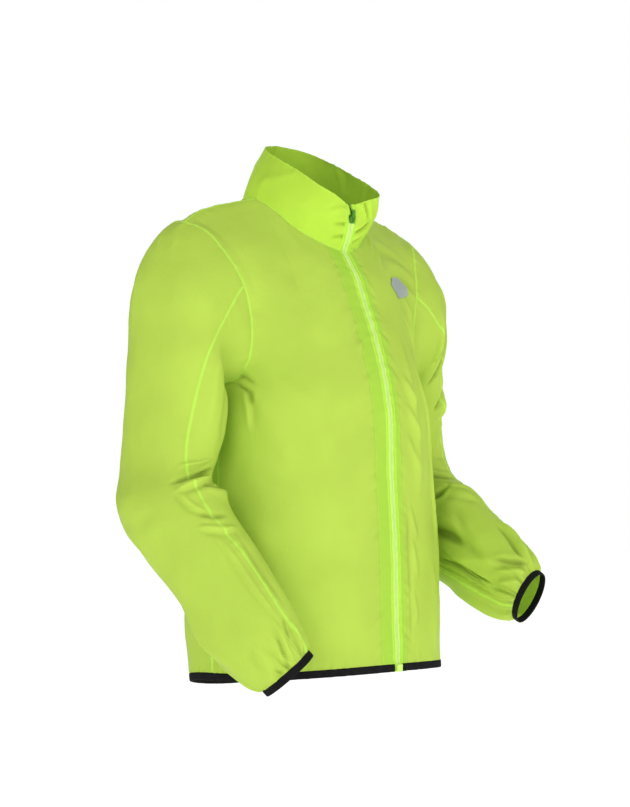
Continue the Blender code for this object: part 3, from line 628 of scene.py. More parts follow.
def tube_faces(rings: int, sides: int, closed: bool) -> list:
    """The faces round a tube of rings, joined end to end, or capped where it isn't closed."""
    ring = np.arange(rings if closed else rings - 1)[:, None]
    side = np.arange(sides)
    low, high, beside = ring * sides, (ring + 1) % rings * sides, (side + 1) % sides
    corners = [low + side, low + beside, high + beside, high + side]
    faces = np.stack(corners, axis=-1).reshape(-1, 4).tolist()
    if not closed:
        faces += [side[::-1].tolist(), (side + (rings - 1) * sides).tolist()]
    return faces


def mesh_object(name: str, points: np.ndarray, faces: list | np.ndarray, smooth: bool = True) -> Piece:
    """A named object at the origin from points and faces."""
    mesh = bpy.data.meshes.new(name)
    mesh.from_pydata(points.reshape(-1, 3).tolist(), [], [list(face) for face in faces])
    if smooth:
        mesh.shade_smooth()
        mesh.set_sharp_from_angle(angle=np.radians(SHARP_DEGREES))
    piece = bpy.data.objects.new(name, mesh)
    bpy.context.scene.collection.objects.link(piece)
    return piece


def wall_points(outer: np.ndarray, normals: np.ndarray, thickness: float) -> np.ndarray:
    """The points of a thin wall's outer face, then those of its inner face."""
    return np.concatenate([outer.reshape(-1, 3), (outer - thickness * normals).reshape(-1, 3)])


def places_on(across: np.ndarray, up: np.ndarray) -> np.ndarray:
    """Places on a cut from the distances across and up."""
    return np.stack(np.broadcast_arrays(across, up), axis=-1)


def wall_object(
    name: str, outer: np.ndarray, normals: np.ndarray, thickness: float, places: np.ndarray, **values: object
) -> Piece:
    """A thin closed wall on a grid, with its places as the UV map and its values as attributes."""
    shape = outer.shape[:2]
    piece = mesh_object(name, wall_points(outer, normals, thickness), grid_faces(*shape))
    mesh = piece.data
    numbers = {key: np.tile(np.broadcast_to(value, shape).reshape(-1), 2) for key, value in values.items()}
    numbers["inner"] = np.repeat([0.0, 1.0], shape[0] * shape[1])
    for key, value in numbers.items():
        mesh.attributes.new(key, "FLOAT", "POINT").data.foreach_set("value", value.astype(np.float32))
    corners = np.empty(len(mesh.loops), np.int32)
    mesh.loops.foreach_get("vertex_index", corners)
    flat = np.tile(places.reshape(-1, 2), (2, 1))[corners]
    mesh.uv_layers.new(name="cut").data.foreach_set("uv", flat.reshape(-1).astype(np.float32))
    return piece


def dress(piece: Piece, material: bpy.types.Material) -> Piece:
    """Gives a piece its one material."""
    piece.data.materials.clear()
    piece.data.materials.append(material)
    return piece


def place(piece: Piece, slot: str, *nodes: str) -> Piece:
    """Sets a piece on the garment and hides the CAD nodes that it stands for."""
    if nodes:
        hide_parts(*nodes)
    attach(piece, GARMENT)
    log.info("%s: %d faces", piece.name, len(piece.data.polygons))
    return piece


class Graph:
    """A short way to write a node tree."""

    def __init__(self, tree: bpy.types.NodeTree) -> None:
        self.tree = tree

    def node(self, kind: str, inputs: dict | None = None, **settings: object) -> bpy.types.Node:
        """A node with its settings, and its inputs set to values or linked to sockets."""
        made = self.tree.nodes.new(kind)
        for key, value in settings.items():
            setattr(made, key, value)
        for key, value in (inputs or {}).items():
            if isinstance(value, Socket):
                self.tree.links.new(value, made.inputs[key])
            else:
                made.inputs[key].default_value = value
        return made

    def attribute(self, name: str) -> Socket:
        """A mesh attribute's value."""
        return self.node("ShaderNodeAttribute", attribute_name=name).outputs["Fac"]

    def by_face(self, outside: float, inside: float) -> Socket:
        """One value on a wall's outer face and another on its inner face."""
        return self.ramp(self.attribute("inner"), 0.4, 0.6, outside, inside)

    def math(self, operation: str, *values: object) -> Socket:
        """The result of a Math node."""
        return self.node("ShaderNodeMath", dict(enumerate(values)), operation=operation).outputs[0]

    def scaled(self, vector: object, factor: object) -> Socket:
        """A vector or colour times a factor."""
        return self.node("ShaderNodeVectorMath", {0: vector, "Scale": factor}, operation="SCALE").outputs[0]

    def mix(self, factor: object, first: object, second: object) -> Socket:
        """The colour between two colours."""
        return self.node("ShaderNodeMix", {0: factor, 6: first, 7: second}, data_type="RGBA").outputs[2]

    def ramp(self, value: object, low: float, high: float, start: float, end: float) -> Socket:
        """A smooth step from start to end as value goes from low to high."""
        inputs = {0: value, 1: low, 2: high, 3: start, 4: end}
        return self.node("ShaderNodeMapRange", inputs, interpolation_type="SMOOTHSTEP").outputs[0]


def empty_graph(owner: bpy.types.Material | bpy.types.World) -> Graph:
    """The graph of a material or a world, its nodes turned on and cleared away."""
    owner.use_nodes = True
    owner.node_tree.nodes.clear()
    return Graph(owner.node_tree)


def new_group(name: str, kind: str, inputs: dict, outputs: dict) -> tuple[Graph, bpy.types.Node, bpy.types.Node]:
    """An empty node group with named sockets.

    Args:
        name: the group's name.
        kind: ShaderNodeTree or GeometryNodeTree.
        inputs: a socket type and a default value for each input's name.
        outputs: a socket type for each output's name.

    Returns:
        The group's graph, its input node and its output node.
    """
    tree = bpy.data.node_groups.new(name, kind)
    for key, (socket, value) in inputs.items():
        made = tree.interface.new_socket(key, in_out="INPUT", socket_type=socket)
        if value is not None:
            made.default_value = value
    for key, socket in outputs.items():
        tree.interface.new_socket(key, in_out="OUTPUT", socket_type=socket)
    graph = Graph(tree)
    return graph, graph.node("NodeGroupInput"), graph.node("NodeGroupOutput")


@cache
def weave_group() -> bpy.types.NodeTree:
    """A plain weave's height, from places in metres."""
    inputs = {"Places": ("NodeSocketVector", None), "Pitch": ("NodeSocketFloat", 0.0005)}
    graph, given, out = new_group("plain_weave", "ShaderNodeTree", inputs, {"Height": "NodeSocketFloat"})
    spread = graph.scaled(given.outputs["Places"], graph.math("DIVIDE", 1.0, given.outputs["Pitch"]))
    apart = graph.node("ShaderNodeSeparateXYZ", {0: spread})
    warp, weft = (graph.math("SINE", graph.math("MULTIPLY", apart.outputs[axis], 2 * np.pi)) for axis in (0, 1))
    graph.tree.links.new(graph.math("MULTIPLY", warp, weft), out.inputs["Height"])
    return graph.tree


@cache
def unrest_group() -> bpy.types.NodeTree:
    """Soft crinkles and slow change over the cloth, in metres."""
    inputs = {"Fine": ("NodeSocketFloat", 0.006), "Broad": ("NodeSocketFloat", 0.09)}
    outputs = {"Crinkle": "NodeSocketFloat", "Drift": "NodeSocketFloat"}
    graph, given, out = new_group("cloth_unrest", "ShaderNodeTree", inputs, outputs)
    where = graph.node("ShaderNodeTexCoord").outputs["Object"]
    for size, name, detail in (("Fine", "Crinkle", 3.0), ("Broad", "Drift", 2.0)):
        scale = graph.math("DIVIDE", 1.0, given.outputs[size])
        noise = graph.node("ShaderNodeTexNoise", {"Vector": where, "Scale": scale, "Detail": detail})
        graph.tree.links.new(noise.outputs[0], out.inputs[name])
    return graph.tree


def tinted(colour: tuple, factor: float) -> tuple:
    """A colour made paler or darker by a factor."""
    return tuple(min(1.0, part * factor) for part in colour[:3]) + (1.0,)


@dataclass(frozen=True)
class ClothFinish:
    """Thin dyed nylon, brighter where it lies double; painted shade darkens its folds' troughs, the doubled strip's
    edge and the inner face, painted highlights lighten the folds' ridges, and the inner face has a painted glow;
    lengths are in metres.
    """

    name: str
    single: tuple
    double: tuple
    roughness: float = 0.42
    specular: float = 0.02
    glow: float = 0.22
    # inside: painted shade, a factor on the inner face's colour.
    inside: float = 1.0
    # The next one is a painted glow: the inner face emits its own colour, as if lit through the thin cloth.
    seen_through: float = 0.20
    drift_range: tuple = (0.3, 0.7)
    paler: float = 1.04
    darker: float = 0.965
    # The next three set the painted shade in the folds' troughs, the painted highlight on their ridges, and how far
    # the fold heights reach.
    fold_reach: float = 0.0050
    trough_shade: float = 0.66
    ridge_shade: float = 1.10
    strip: tuple = (0.385, 0.690, 0.058, 1.0)
    strip_share: float = 0.62
    strip_fade: tuple = (-0.0024, 0.0014)
    # The next two set the painted shade along the stitched edge of the doubled strip.
    strip_edge: float = 0.0012
    strip_edge_shade: float = 0.90
    seam_share: float = 0.8
    seam_width: float = 0.0020
    seam_fade: tuple = (0.65, 1.25)
    seam_height: float = 0.5
    weave_pitch: float = 0.0009
    weave_height: float = 0.06
    bump: float = 0.35
    bump_depth: float = 0.0012

    def shade(self, graph: Graph, doubled: Socket) -> Socket:
        """The painted shade: darker in the folds' troughs, along the doubled strip's edge and on the inner face,
        with a painted highlight on the folds' ridges.
        """
        fold = graph.math("MULTIPLY", graph.attribute("fold"), graph.by_face(1.0, -1.0))
        trough = graph.ramp(fold, -self.fold_reach, 0.0, self.trough_shade, 1.0)
        ridge = graph.ramp(fold, 0.0, self.fold_reach, 1.0, self.ridge_shade)
        edge = graph.ramp(graph.math("ABSOLUTE", doubled), 0.0, self.strip_edge, self.strip_edge_shade, 1.0)
        shade = graph.math("MULTIPLY", graph.math("MULTIPLY", trough, ridge), edge)
        return graph.math("MULTIPLY", shade, graph.by_face(1.0, self.inside))

    @cache
    def material(self) -> bpy.types.Material:
        """The material, with the seam band, the doubled strips and the folds' painted shade and highlights read
        from the piece's attributes, and a painted glow on the inner face.
        """
        material = bpy.data.materials.new(self.name)
        graph = empty_graph(material)
        doubled = graph.attribute("doubled")
        seam_low, seam_high = (self.seam_width * part for part in self.seam_fade)
        band = graph.ramp(graph.attribute("seam"), seam_low, seam_high, self.seam_share, 0.0)
        strip = graph.ramp(doubled, *self.strip_fade, 0.0, self.strip_share)
        unrest = graph.node("ShaderNodeGroup", node_tree=unrest_group())
        weave = graph.node("ShaderNodeGroup", node_tree=weave_group())
        graph.tree.links.new(graph.node("ShaderNodeUVMap", uv_map="cut").outputs[0], weave.inputs["Places"])
        weave.inputs["Pitch"].default_value = self.weave_pitch
        drift = graph.ramp(unrest.outputs["Drift"], *self.drift_range, 0.0, 1.0)
        ground = graph.mix(drift, tinted(self.single, self.darker), tinted(self.single, self.paler))
        sewn = graph.mix(band, graph.mix(strip, ground, self.strip), self.double)
        # The painted shade and highlights scale the cloth's own colour.
        colour = graph.scaled(sewn, self.shade(graph, doubled))
        lines = graph.math("MULTIPLY", weave.outputs["Height"], self.weave_height)
        height = graph.math("ADD", unrest.outputs["Crinkle"], lines)
        height = graph.math("ADD", height, graph.math("MULTIPLY", band, self.seam_height))
        sizes = {"Strength": self.bump, "Distance": self.bump_depth, "Height": height}
        normal = graph.node("ShaderNodeBump", sizes).outputs[0]
        inputs = {
            "Base Color": colour,
            "Roughness": self.roughness,
            "Specular IOR Level": self.specular,
            "Emission Color": colour,
            # Painted glow: the inner face emits its own colour.
            "Emission Strength": graph.by_face(0.0, self.seen_through),
            "Normal": normal,
        }
        shader = graph.node("ShaderNodeBsdfPrincipled", inputs).outputs[0]
        lit = graph.node("ShaderNodeBsdfTranslucent", {"Color": colour, "Normal": normal}).outputs[0]
        both = graph.node("ShaderNodeMixShader", {0: self.glow, 1: shader, 2: lit}).outputs[0]
        graph.node("ShaderNodeOutputMaterial", {"Surface": both})
        return material


@dataclass(frozen=True)
class SolidFinish:
    """A solid material with fine grain: elastic, thread, coil, enamel or film."""

    name: str
    colour: tuple
    roughness: float
    metallic: float = 0.0
    grain: float = 0.0008
    grain_depth: float = 0.0001
    contrast: float = 0.12
    coat: float = 0.0
    specular: float = 0.5
    broad_times: float = 12.0
    rough_spread: float = 0.12
    bump: float = 0.5

    @cache
    def material(self) -> bpy.types.Material:
        """The material, its grain read from Object coordinates."""
        material = bpy.data.materials.new(self.name)
        graph = empty_graph(material)
        unrest = graph.node("ShaderNodeGroup", node_tree=unrest_group())
        unrest.inputs["Fine"].default_value = self.grain
        unrest.inputs["Broad"].default_value = self.grain * self.broad_times
        crinkle, spread = unrest.outputs["Crinkle"], self.roughness * self.rough_spread
        darker, paler = tinted(self.colour, 1 - self.contrast), tinted(self.colour, 1 + self.contrast)
        sizes = {"Strength": self.bump, "Distance": self.grain_depth, "Height": crinkle}
        inputs = {
            "Base Color": graph.mix(graph.ramp(crinkle, 0.35, 0.65, 0.0, 1.0), darker, paler),
            "Roughness": graph.ramp(
                unrest.outputs["Drift"], 0.3, 0.7, self.roughness - spread, self.roughness + spread
            ),
            "Metallic": self.metallic,
            "Coat Weight": self.coat,
            "Specular IOR Level": self.specular,
            "Normal": graph.node("ShaderNodeBump", sizes).outputs[0],
        }
        shader = graph.node("ShaderNodeBsdfPrincipled", inputs).outputs[0]
        graph.node("ShaderNodeOutputMaterial", {"Surface": shader})
        return material


class Finishes:
    """Every finish of the jacket; each makes its material once."""

    cloth = ClothFinish("neon_shell_cloth", (0.483, 0.655, 0.092, 1.0), (0.53, 0.83, 0.105, 1.0))
    # The collar's inner face is darker, painted shade inside the collar, and its folds carry painted shade and
    # highlights.
    collar = ClothFinish(
        "neon_collar_cloth", (0.478, 0.735, 0.064, 1.0), (0.54, 0.85, 0.09, 1.0), glow=0.14, inside=0.62,
        seen_through=0.16, seam_share=0.4, fold_reach=0.0040, trough_shade=0.62, ridge_shade=1.06,
    )
    tape = ClothFinish(
        "zip_tape_weave", (0.40, 0.72, 0.055, 1.0), (0.60, 0.82, 0.22, 1.0), glow=0.05, weave_pitch=0.0012,
        seam_width=0.0012, seam_share=1.0,
    )
    # The lips' inner faces are darker: painted shade.
    lip = ClothFinish(
        "neon_lip_cloth", (0.44, 0.74, 0.05, 1.0), (0.50, 0.84, 0.07, 1.0), glow=0.1, inside=0.5, seen_through=0.0,
    )
    # The guard's dark green is painted shade: the zip guard is a real piece, its colour is the shade behind the
    # zip's open top.
    guard = ClothFinish(
        "shaded_guard_cloth", (0.045, 0.16, 0.006, 1.0), (0.045, 0.16, 0.006, 1.0), glow=0.0, seen_through=0.0,
    )
    coil = SolidFinish("pale_zip_coil", (0.60, 0.82, 0.22, 1.0), 0.5, grain=0.0005)
    thread = SolidFinish("neon_thread", (0.53, 0.83, 0.11, 1.0), 0.6, grain=0.0004, contrast=0.2)
    elastic = SolidFinish(
        "black_elastic_knit", (0.0065, 0.0065, 0.0070, 1.0), 0.85, grain=0.0007, contrast=0.35, specular=0.12,
    )
    enamel = SolidFinish("green_enamel", (0.055, 0.215, 0.008, 1.0), 0.4, grain=0.002, coat=0.15, specular=0.35)
    moulded = SolidFinish("moulded_nylon", (0.50, 0.78, 0.12, 1.0), 0.4, grain=0.0015)
    stop = SolidFinish("dark_stop", (0.008, 0.012, 0.006, 1.0), 0.4, grain=0.001)
    film = SolidFinish("reflective_film", (0.36, 0.42, 0.39, 1.0), 0.34, metallic=0.35, grain=0.0006, contrast=0.1)


# ---- Rows of small shapes -------------------------------------------------------------------------

class Row(NamedTuple):
    """Guide points of one row, with the way each bead lies and the way out of the surface."""

    points: np.ndarray
    ways: np.ndarray
    outs: np.ndarray


class Bead(NamedTuple):
    """A small rounded shape that repeats along a row, in metres."""

    length: float
    width: float
    height: float
    pitch: float


def unit(vectors: np.ndarray) -> np.ndarray:
    """The same vectors, each of length one."""
    return vectors / np.linalg.norm(vectors, axis=-1, keepdims=True)


def row_along(line: np.ndarray, normals: np.ndarray, pitch: float, lift: float) -> Row:
    """Evenly spaced guide points along a line of points.

    Args:
        line: the points that the row follows.
        normals: the outward normal at each of them.
        pitch: the distance between beads.
        lift: how far the beads' middles stand off the line.

    Returns:
        The row, each bead lying along it.
    """
    total = distances_along(line)[-1]
    count = max(1, int(total / pitch))
    places = (np.arange(count) + 0.5) * total / count
    outs = unit(read_along(line, normals, places))
    ways = unit(read_along(line, np.gradient(line, axis=0), places))
    return Row(read_along(line, line, places) + outs * lift, ways, outs)


class BeadRows:
    """Stitches and zip loops: a Geometry Nodes tree that sets one bead on each guide point."""

    segments: int = 6
    rings: int = 4

    def __init__(self) -> None:
        floats = {name: ("NodeSocketFloat", 0.0005) for name in ("Length", "Width", "Height")}
        inputs = {"Guide": ("NodeSocketGeometry", None), **floats, "Finish": ("NodeSocketMaterial", None)}
        outputs = {"Geometry": "NodeSocketGeometry"}
        graph, given, out = new_group("beads_on_a_row", "GeometryNodeTree", inputs, outputs)
        way, outward = (
            graph.node("GeometryNodeInputNamedAttribute", {"Name": name}, data_type="FLOAT_VECTOR").outputs[0]
            for name in ("way", "outward")
        )
        align = "FunctionNodeAlignRotationToVector"
        lying = graph.node(align, {"Vector": way}, axis="X").outputs[0]
        standing = graph.node(align, {"Rotation": lying, "Vector": outward}, axis="Z", pivot_axis="X").outputs[0]
        ball = graph.node(
            "GeometryNodeMeshUVSphere", {"Segments": self.segments, "Rings": self.rings, "Radius": 0.5}
        ).outputs["Mesh"]
        length, width, height = (given.outputs[name] for name in floats)
        sizes = graph.node("ShaderNodeCombineXYZ", {"X": length, "Y": width, "Z": height}).outputs[0]
        made = graph.node(
            "GeometryNodeInstanceOnPoints",
            {"Points": given.outputs["Guide"], "Instance": ball, "Rotation": standing, "Scale": sizes},
        ).outputs[0]
        for kind in ("GeometryNodeRealizeInstances", "GeometryNodeSetShadeSmooth"):
            made = graph.node(kind, {"Geometry": made}).outputs[0]
        finish = {"Geometry": made, "Material": given.outputs["Finish"]}
        graph.tree.links.new(graph.node("GeometryNodeSetMaterial", finish).outputs[0], out.inputs["Geometry"])
        self.tree = graph.tree

    def build(self, name: str, rows: list[Row], bead: Bead, material: bpy.types.Material) -> Piece:
        """One plain mesh with a bead on every guide point of the rows, its modifier already removed."""
        guide = bpy.data.meshes.new(f"{name}_guide")
        guide.from_pydata(np.concatenate([row.points for row in rows]).tolist(), [], [])
        for key, part in (("way", "ways"), ("outward", "outs")):
            vectors = np.concatenate([getattr(row, part) for row in rows]).astype(np.float32)
            guide.attributes.new(key, "FLOAT_VECTOR", "POINT").data.foreach_set("vector", vectors.reshape(-1))
        piece = bpy.data.objects.new(name, guide)
        bpy.context.scene.collection.objects.link(piece)
        values = {"Length": bead.length, "Width": bead.width, "Height": bead.height, "Finish": material}
        modifier = piece.modifiers.new("beads", "NODES")
        modifier.node_group = self.tree
        for item in self.tree.interface.items_tree:
            if item.in_out == "INPUT" and item.name in values:
                modifier[item.identifier] = values[item.name]
        evaluated = piece.evaluated_get(bpy.context.evaluated_depsgraph_get())
        mesh = bpy.data.meshes.new_from_object(evaluated)
        piece.modifiers.clear()
        piece.data = mesh
        bpy.data.meshes.remove(guide)
        return piece


# ---- Cloth ----------------------------------------------------------------------------------------

class Cut(NamedTuple):
    """A cut piece lying flat: its width, length and area."""

    width: float
    length: float
    area: float


@dataclass(frozen=True)
class Shell:
    """How one cut piece is worked: its creases, seam puckers, gathers and unrest."""

    cut: Cut
    slot: str
    creases: tuple = ()
    sewn: tuple = ("left", "right", "top")
    pucker: Pucker = Pucker(0.0006, 0.011, 0.010)
    gather: Pucker = Pucker(0.0012, 0.009, 0.010)
    unrest: float = 0.0005
    fade: float = 0.005
    run_over: str = ""


@dataclass(frozen=True)
class CreaseForm:
    """How a crease runs and what its section is, in its own lengths, widths and heights."""

    wander: float = 0.15
    wander_rate: float = 9.0
    wander_start: float = 40.0
    end_width: float = 0.6
    trough_depth: float = 0.4
    trough_away: float = 1.9
    trough_width: float = 1.2
    first_end: tuple = (-0.02, 0.3)
    last_end: tuple = (1.02, 0.7)

    def heights(self, crease: Crease, places: np.ndarray) -> np.ndarray:
        """A soft ridge with a shallow trough beside it, dying out at its ends."""
        start = np.array([crease.u0, crease.v0])
        run = np.array([crease.u1, crease.v1]) - start
        length = np.linalg.norm(run)
        way = run / length
        offset = places - start
        part = offset @ way / length
        bowed = crease.bow * 4 * part * (1 - part)
        wander = self.wander * crease.width * np.sin(self.wander_rate * part + self.wander_start * crease.u0)
        narrowing = self.end_width + (1 - self.end_width) * np.sin(np.pi * np.clip(part, 0, 1))
        away = (offset @ np.array([-way[1], way[0]]) - bowed - wander) / (crease.width * narrowing)
        trough = np.exp(-(((away - self.trough_away) / self.trough_width) ** 2))
        ends = soft_step(*self.first_end, part) * soft_step(*self.last_end, part)
        return crease.height * ends * (np.exp(-(away**2)) - self.trough_depth * trough)


@dataclass(frozen=True)
class Cloth:
    """Every cut piece of cloth, from the form to the finished thin shells."""

    body: BodyForm
    collar: CollarForm
    sleeves: tuple
    shells: dict
    thickness: float = 0.0004
    eased_rounds: int = 140
    eased_from_edge: float = 0.022
    hem_fade: float = 0.004
    # The next two set how much of the creases and the ripples goes into the fold heights for painted shade and
    # highlights.
    sharp_width: float = 0.0055
    ripple_share: float = 0.6
    broad: Waves = Waves(0.075, 4)
    narrow: Waves = Waves(0.028, 9)
    broad_share: float = 0.7
    ripple_seed: int = 21
    gather_seeds: tuple = (33, 34)
    small_gather: float = 0.5
    small_gather_times: float = 2.2
    facing_pucker: Pucker = Pucker(0.0015, 0.012, 0.005)
    facing_pucker_beyond: float = 0.002
    facing_pucker_slide: float = 0.7
    facing_seed: int = 41
    crease_form: CreaseForm = CreaseForm()

    @staticmethod
    def facing_width(side: Side) -> float:
        """How wide the strip behind a front is."""
        return {Side.RIGHT: 0.024, Side.LEFT: 0.012}[side]

    def panels(self) -> Panels:
        """The cut pieces with their largest folds, creases and puckers, still joined at the seams."""
        bodice = self.body.panels()
        for panel in bodice:
            self.ease(panel)
        made = bodice + [self.collar.panel()] + [panel for sleeve in self.sleeves for panel in sleeve.panels()]
        share_normals(made)
        for panel in made:
            if panel.name != "collar":
                panel.points = panel.points + self.fold_heights(panel.points)[..., None] * panel.normals
        share_normals(made)
        for panel in made:
            self.work(panel, self.shells[panel.name])
        share_normals(made)
        return {panel.name: panel for panel in made}

    def ease(self, panel: Panel) -> None:
        """Evens out how the rows change from one to the next, away from the piece's edges."""
        nearest = np.minimum.reduce([away for away, _ in self.edge_distances(panel).values()])
        share = soft_step(0.0, self.eased_from_edge, nearest)[..., None]
        eased = panel.points.copy()
        for _ in range(self.eased_rounds):
            eased[1:-1] = 0.25 * eased[:-2] + 0.5 * eased[1:-1] + 0.25 * eased[2:]
        panel.points = panel.points + (eased - panel.points) * share

    @staticmethod
    def fold_heights(points: np.ndarray) -> np.ndarray:
        """How far each point stands proud because of the largest folds."""
        heights = np.zeros(points.shape[:-1])
        for fold in FOLDS:
            start, end = np.array(fold[0:3]), np.array(fold[3:6])
            run = end - start
            part = np.clip(((points - start) @ run) / (run @ run), 0, 1)
            away = np.linalg.norm(points - (start + part[..., None] * run), axis=-1)
            fade = FOLD_END_SHARE + (1 - FOLD_END_SHARE) * np.sin(np.pi * part)
            heights += fold.height * fade * np.exp(-((away / fold.half_width) ** 2))
        return heights

    @staticmethod
    def edge_distances(panel: Panel) -> dict[str, tuple[np.ndarray, np.ndarray]]:
        """For each edge, how far each point is from it along the grid, and the edge's nearest point."""
        grid = panel.points
        across, upward = distances_along(grid, 1), distances_along(grid)
        return {
            "left": (across, np.broadcast_to(grid[:, :1], grid.shape)),
            "right": (across[:, -1:] - across, np.broadcast_to(grid[:, -1:], grid.shape)),
            "bottom": (upward, np.broadcast_to(grid[:1], grid.shape)),
            "top": (upward[-1:] - upward, np.broadcast_to(grid[-1:], grid.shape)),
        }

    def gathers(self, gather: Pucker, away: np.ndarray, near: np.ndarray) -> np.ndarray:
        """The heights of the gathers that the elastic draws in at a piece's foot."""
        lengths = (gather.length, gather.length / self.small_gather_times)
        large, small = (Waves(length, seed).at(near) for length, seed in zip(lengths, self.gather_seeds))
        waves = gather.height * (large + self.small_gather * small)
        return waves * np.exp(-away / gather.reach) * soft_step(0.0, self.hem_fade, away)

    def facing_puckers(self, doubled: np.ndarray, away: np.ndarray, near: np.ndarray) -> np.ndarray:
        """The heights of the puckers along the stitched edge of the strip behind a front."""
        pucker = self.facing_pucker
        slid = near + away[..., None] * np.array([0.0, 0.0, self.facing_pucker_slide])
        waves = pucker.height * Waves(pucker.length, self.facing_seed).at(slid)
        return waves * np.exp(-np.abs(doubled + self.facing_pucker_beyond) / pucker.reach)

    def work(self, panel: Panel, shell: Shell) -> None:
        """Adds a piece's creases, puckers and unrest, and notes its seams, its doubled strips and the fold heights
        that the material paints as shade and highlights.
        """
        edges = self.edge_distances(panel)
        lift = np.zeros(panel.points.shape[:-1])
        fold, ripple = np.zeros(lift.shape), np.zeros(lift.shape)
        for crease in shell.creases:
            height = self.crease_form.heights(crease, panel.places)
            lift += height
            # Narrow creases count fully in the fold heights for painted shade.
            fold += height * min(1.0, (self.sharp_width / crease.width) ** 2)
        broad, narrow = self.broad.at(panel.points), self.narrow.at(panel.points)
        unrest = self.broad_share * broad + (1 - self.broad_share) * narrow
        nearest = np.minimum.reduce([away for edge, (away, _) in edges.items() if edge != shell.run_over])
        fade = soft_step(0.0, shell.fade, nearest)
        for edge in ("left", "right", "top"):
            away, near = edges[edge]
            waves = shell.pucker.height * Waves(shell.pucker.length, self.ripple_seed).at(near)
            ripple += waves * np.exp(-away / shell.pucker.reach)
        if panel.name != "collar":
            ripple += self.gathers(shell.gather, *edges["bottom"])
        panel.seam = np.minimum.reduce([edges[edge][0] for edge in shell.sewn])
        panel.doubled = np.full(lift.shape, -1.0)
        if panel.side:
            panel.doubled = self.facing_width(panel.side) - edges[panel.zip_edge][0]
            ripple += self.facing_puckers(panel.doubled, *edges[panel.zip_edge])
        # The fold heights for painted shade and highlights, with a share of the ripples.
        panel.fold = fold * fade + self.ripple_share * ripple
        panel.points = panel.points + ((lift + shell.unrest * unrest) * fade + ripple)[..., None] * panel.normals

    def build(self, panels: Panels) -> dict[str, Piece]:
        """The thin shells, each in the place of its CAD node."""
        pieces = {}
        for name, panel in panels.items():
            # The fold attribute carries the heights of the painted fold shade.
            piece = wall_object(
                f"{name}_cloth", panel.points, panel.normals, self.thickness, panel.places,
                seam=panel.seam, doubled=panel.doubled, fold=panel.fold,
            )
            finish = Finishes.collar if name == "collar" else Finishes.cloth
            pieces[name] = place(dress(piece, finish.material()), self.shells[name].slot, name)
        return pieces


@dataclass(frozen=True)
class Stitching:
    """Rows of stitches beside the seams and on the doubled strips' edges."""

    bead: Bead = Bead(0.0023, 0.00055, 0.00045, 0.0031)
    beside: float = 0.0014
    facing_inset: float = 0.0016
    lift: float = 0.0001

    def beside_edge(self, panel: Panel, edge: str, inset: float) -> Row:
        """A row of stitches at an inset from one edge of a piece."""
        points, normals = panel.points, panel.normals
        if edge in ("top", "bottom"):
            points, normals = points.swapaxes(0, 1), normals.swapaxes(0, 1)
        if edge in ("right", "top"):
            points, normals = points[:, ::-1], normals[:, ::-1]
        at = np.array([inset])
        line = np.concatenate([read_along(row, row, at) for row in points])
        outs = np.concatenate([read_along(row, values, at) for row, values in zip(points, normals)])
        return row_along(line, outs, self.bead.pitch, self.lift)

    def rows(self, panel: Panel) -> list[Row]:
        """Every row of stitches on one piece."""
        edges = ("left", "right", "top") + (("bottom",) if panel.name == "collar" else ())
        rows = [self.beside_edge(panel, edge, self.beside) for edge in edges]
        if panel.side:
            rows.append(self.beside_edge(panel, panel.zip_edge, Cloth.facing_width(panel.side) - self.facing_inset))
        return rows

    def build(self, panels: Panels, beads: BeadRows) -> None:
        """One piece of stitching for the body and one for each sleeve."""
        for word in ("front", "back", "collar", "sleeve_right", "sleeve_left"):
            rows = [row for name, panel in panels.items() if name.startswith(word) for row in self.rows(panel)]
            piece = beads.build(f"{word}_stitches", rows, self.bead, Finishes.thread.material())
            place(piece, f"{word.split('_')[0]}_cloth")


# ---- Trims ----------------------------------------------------------------------------------------

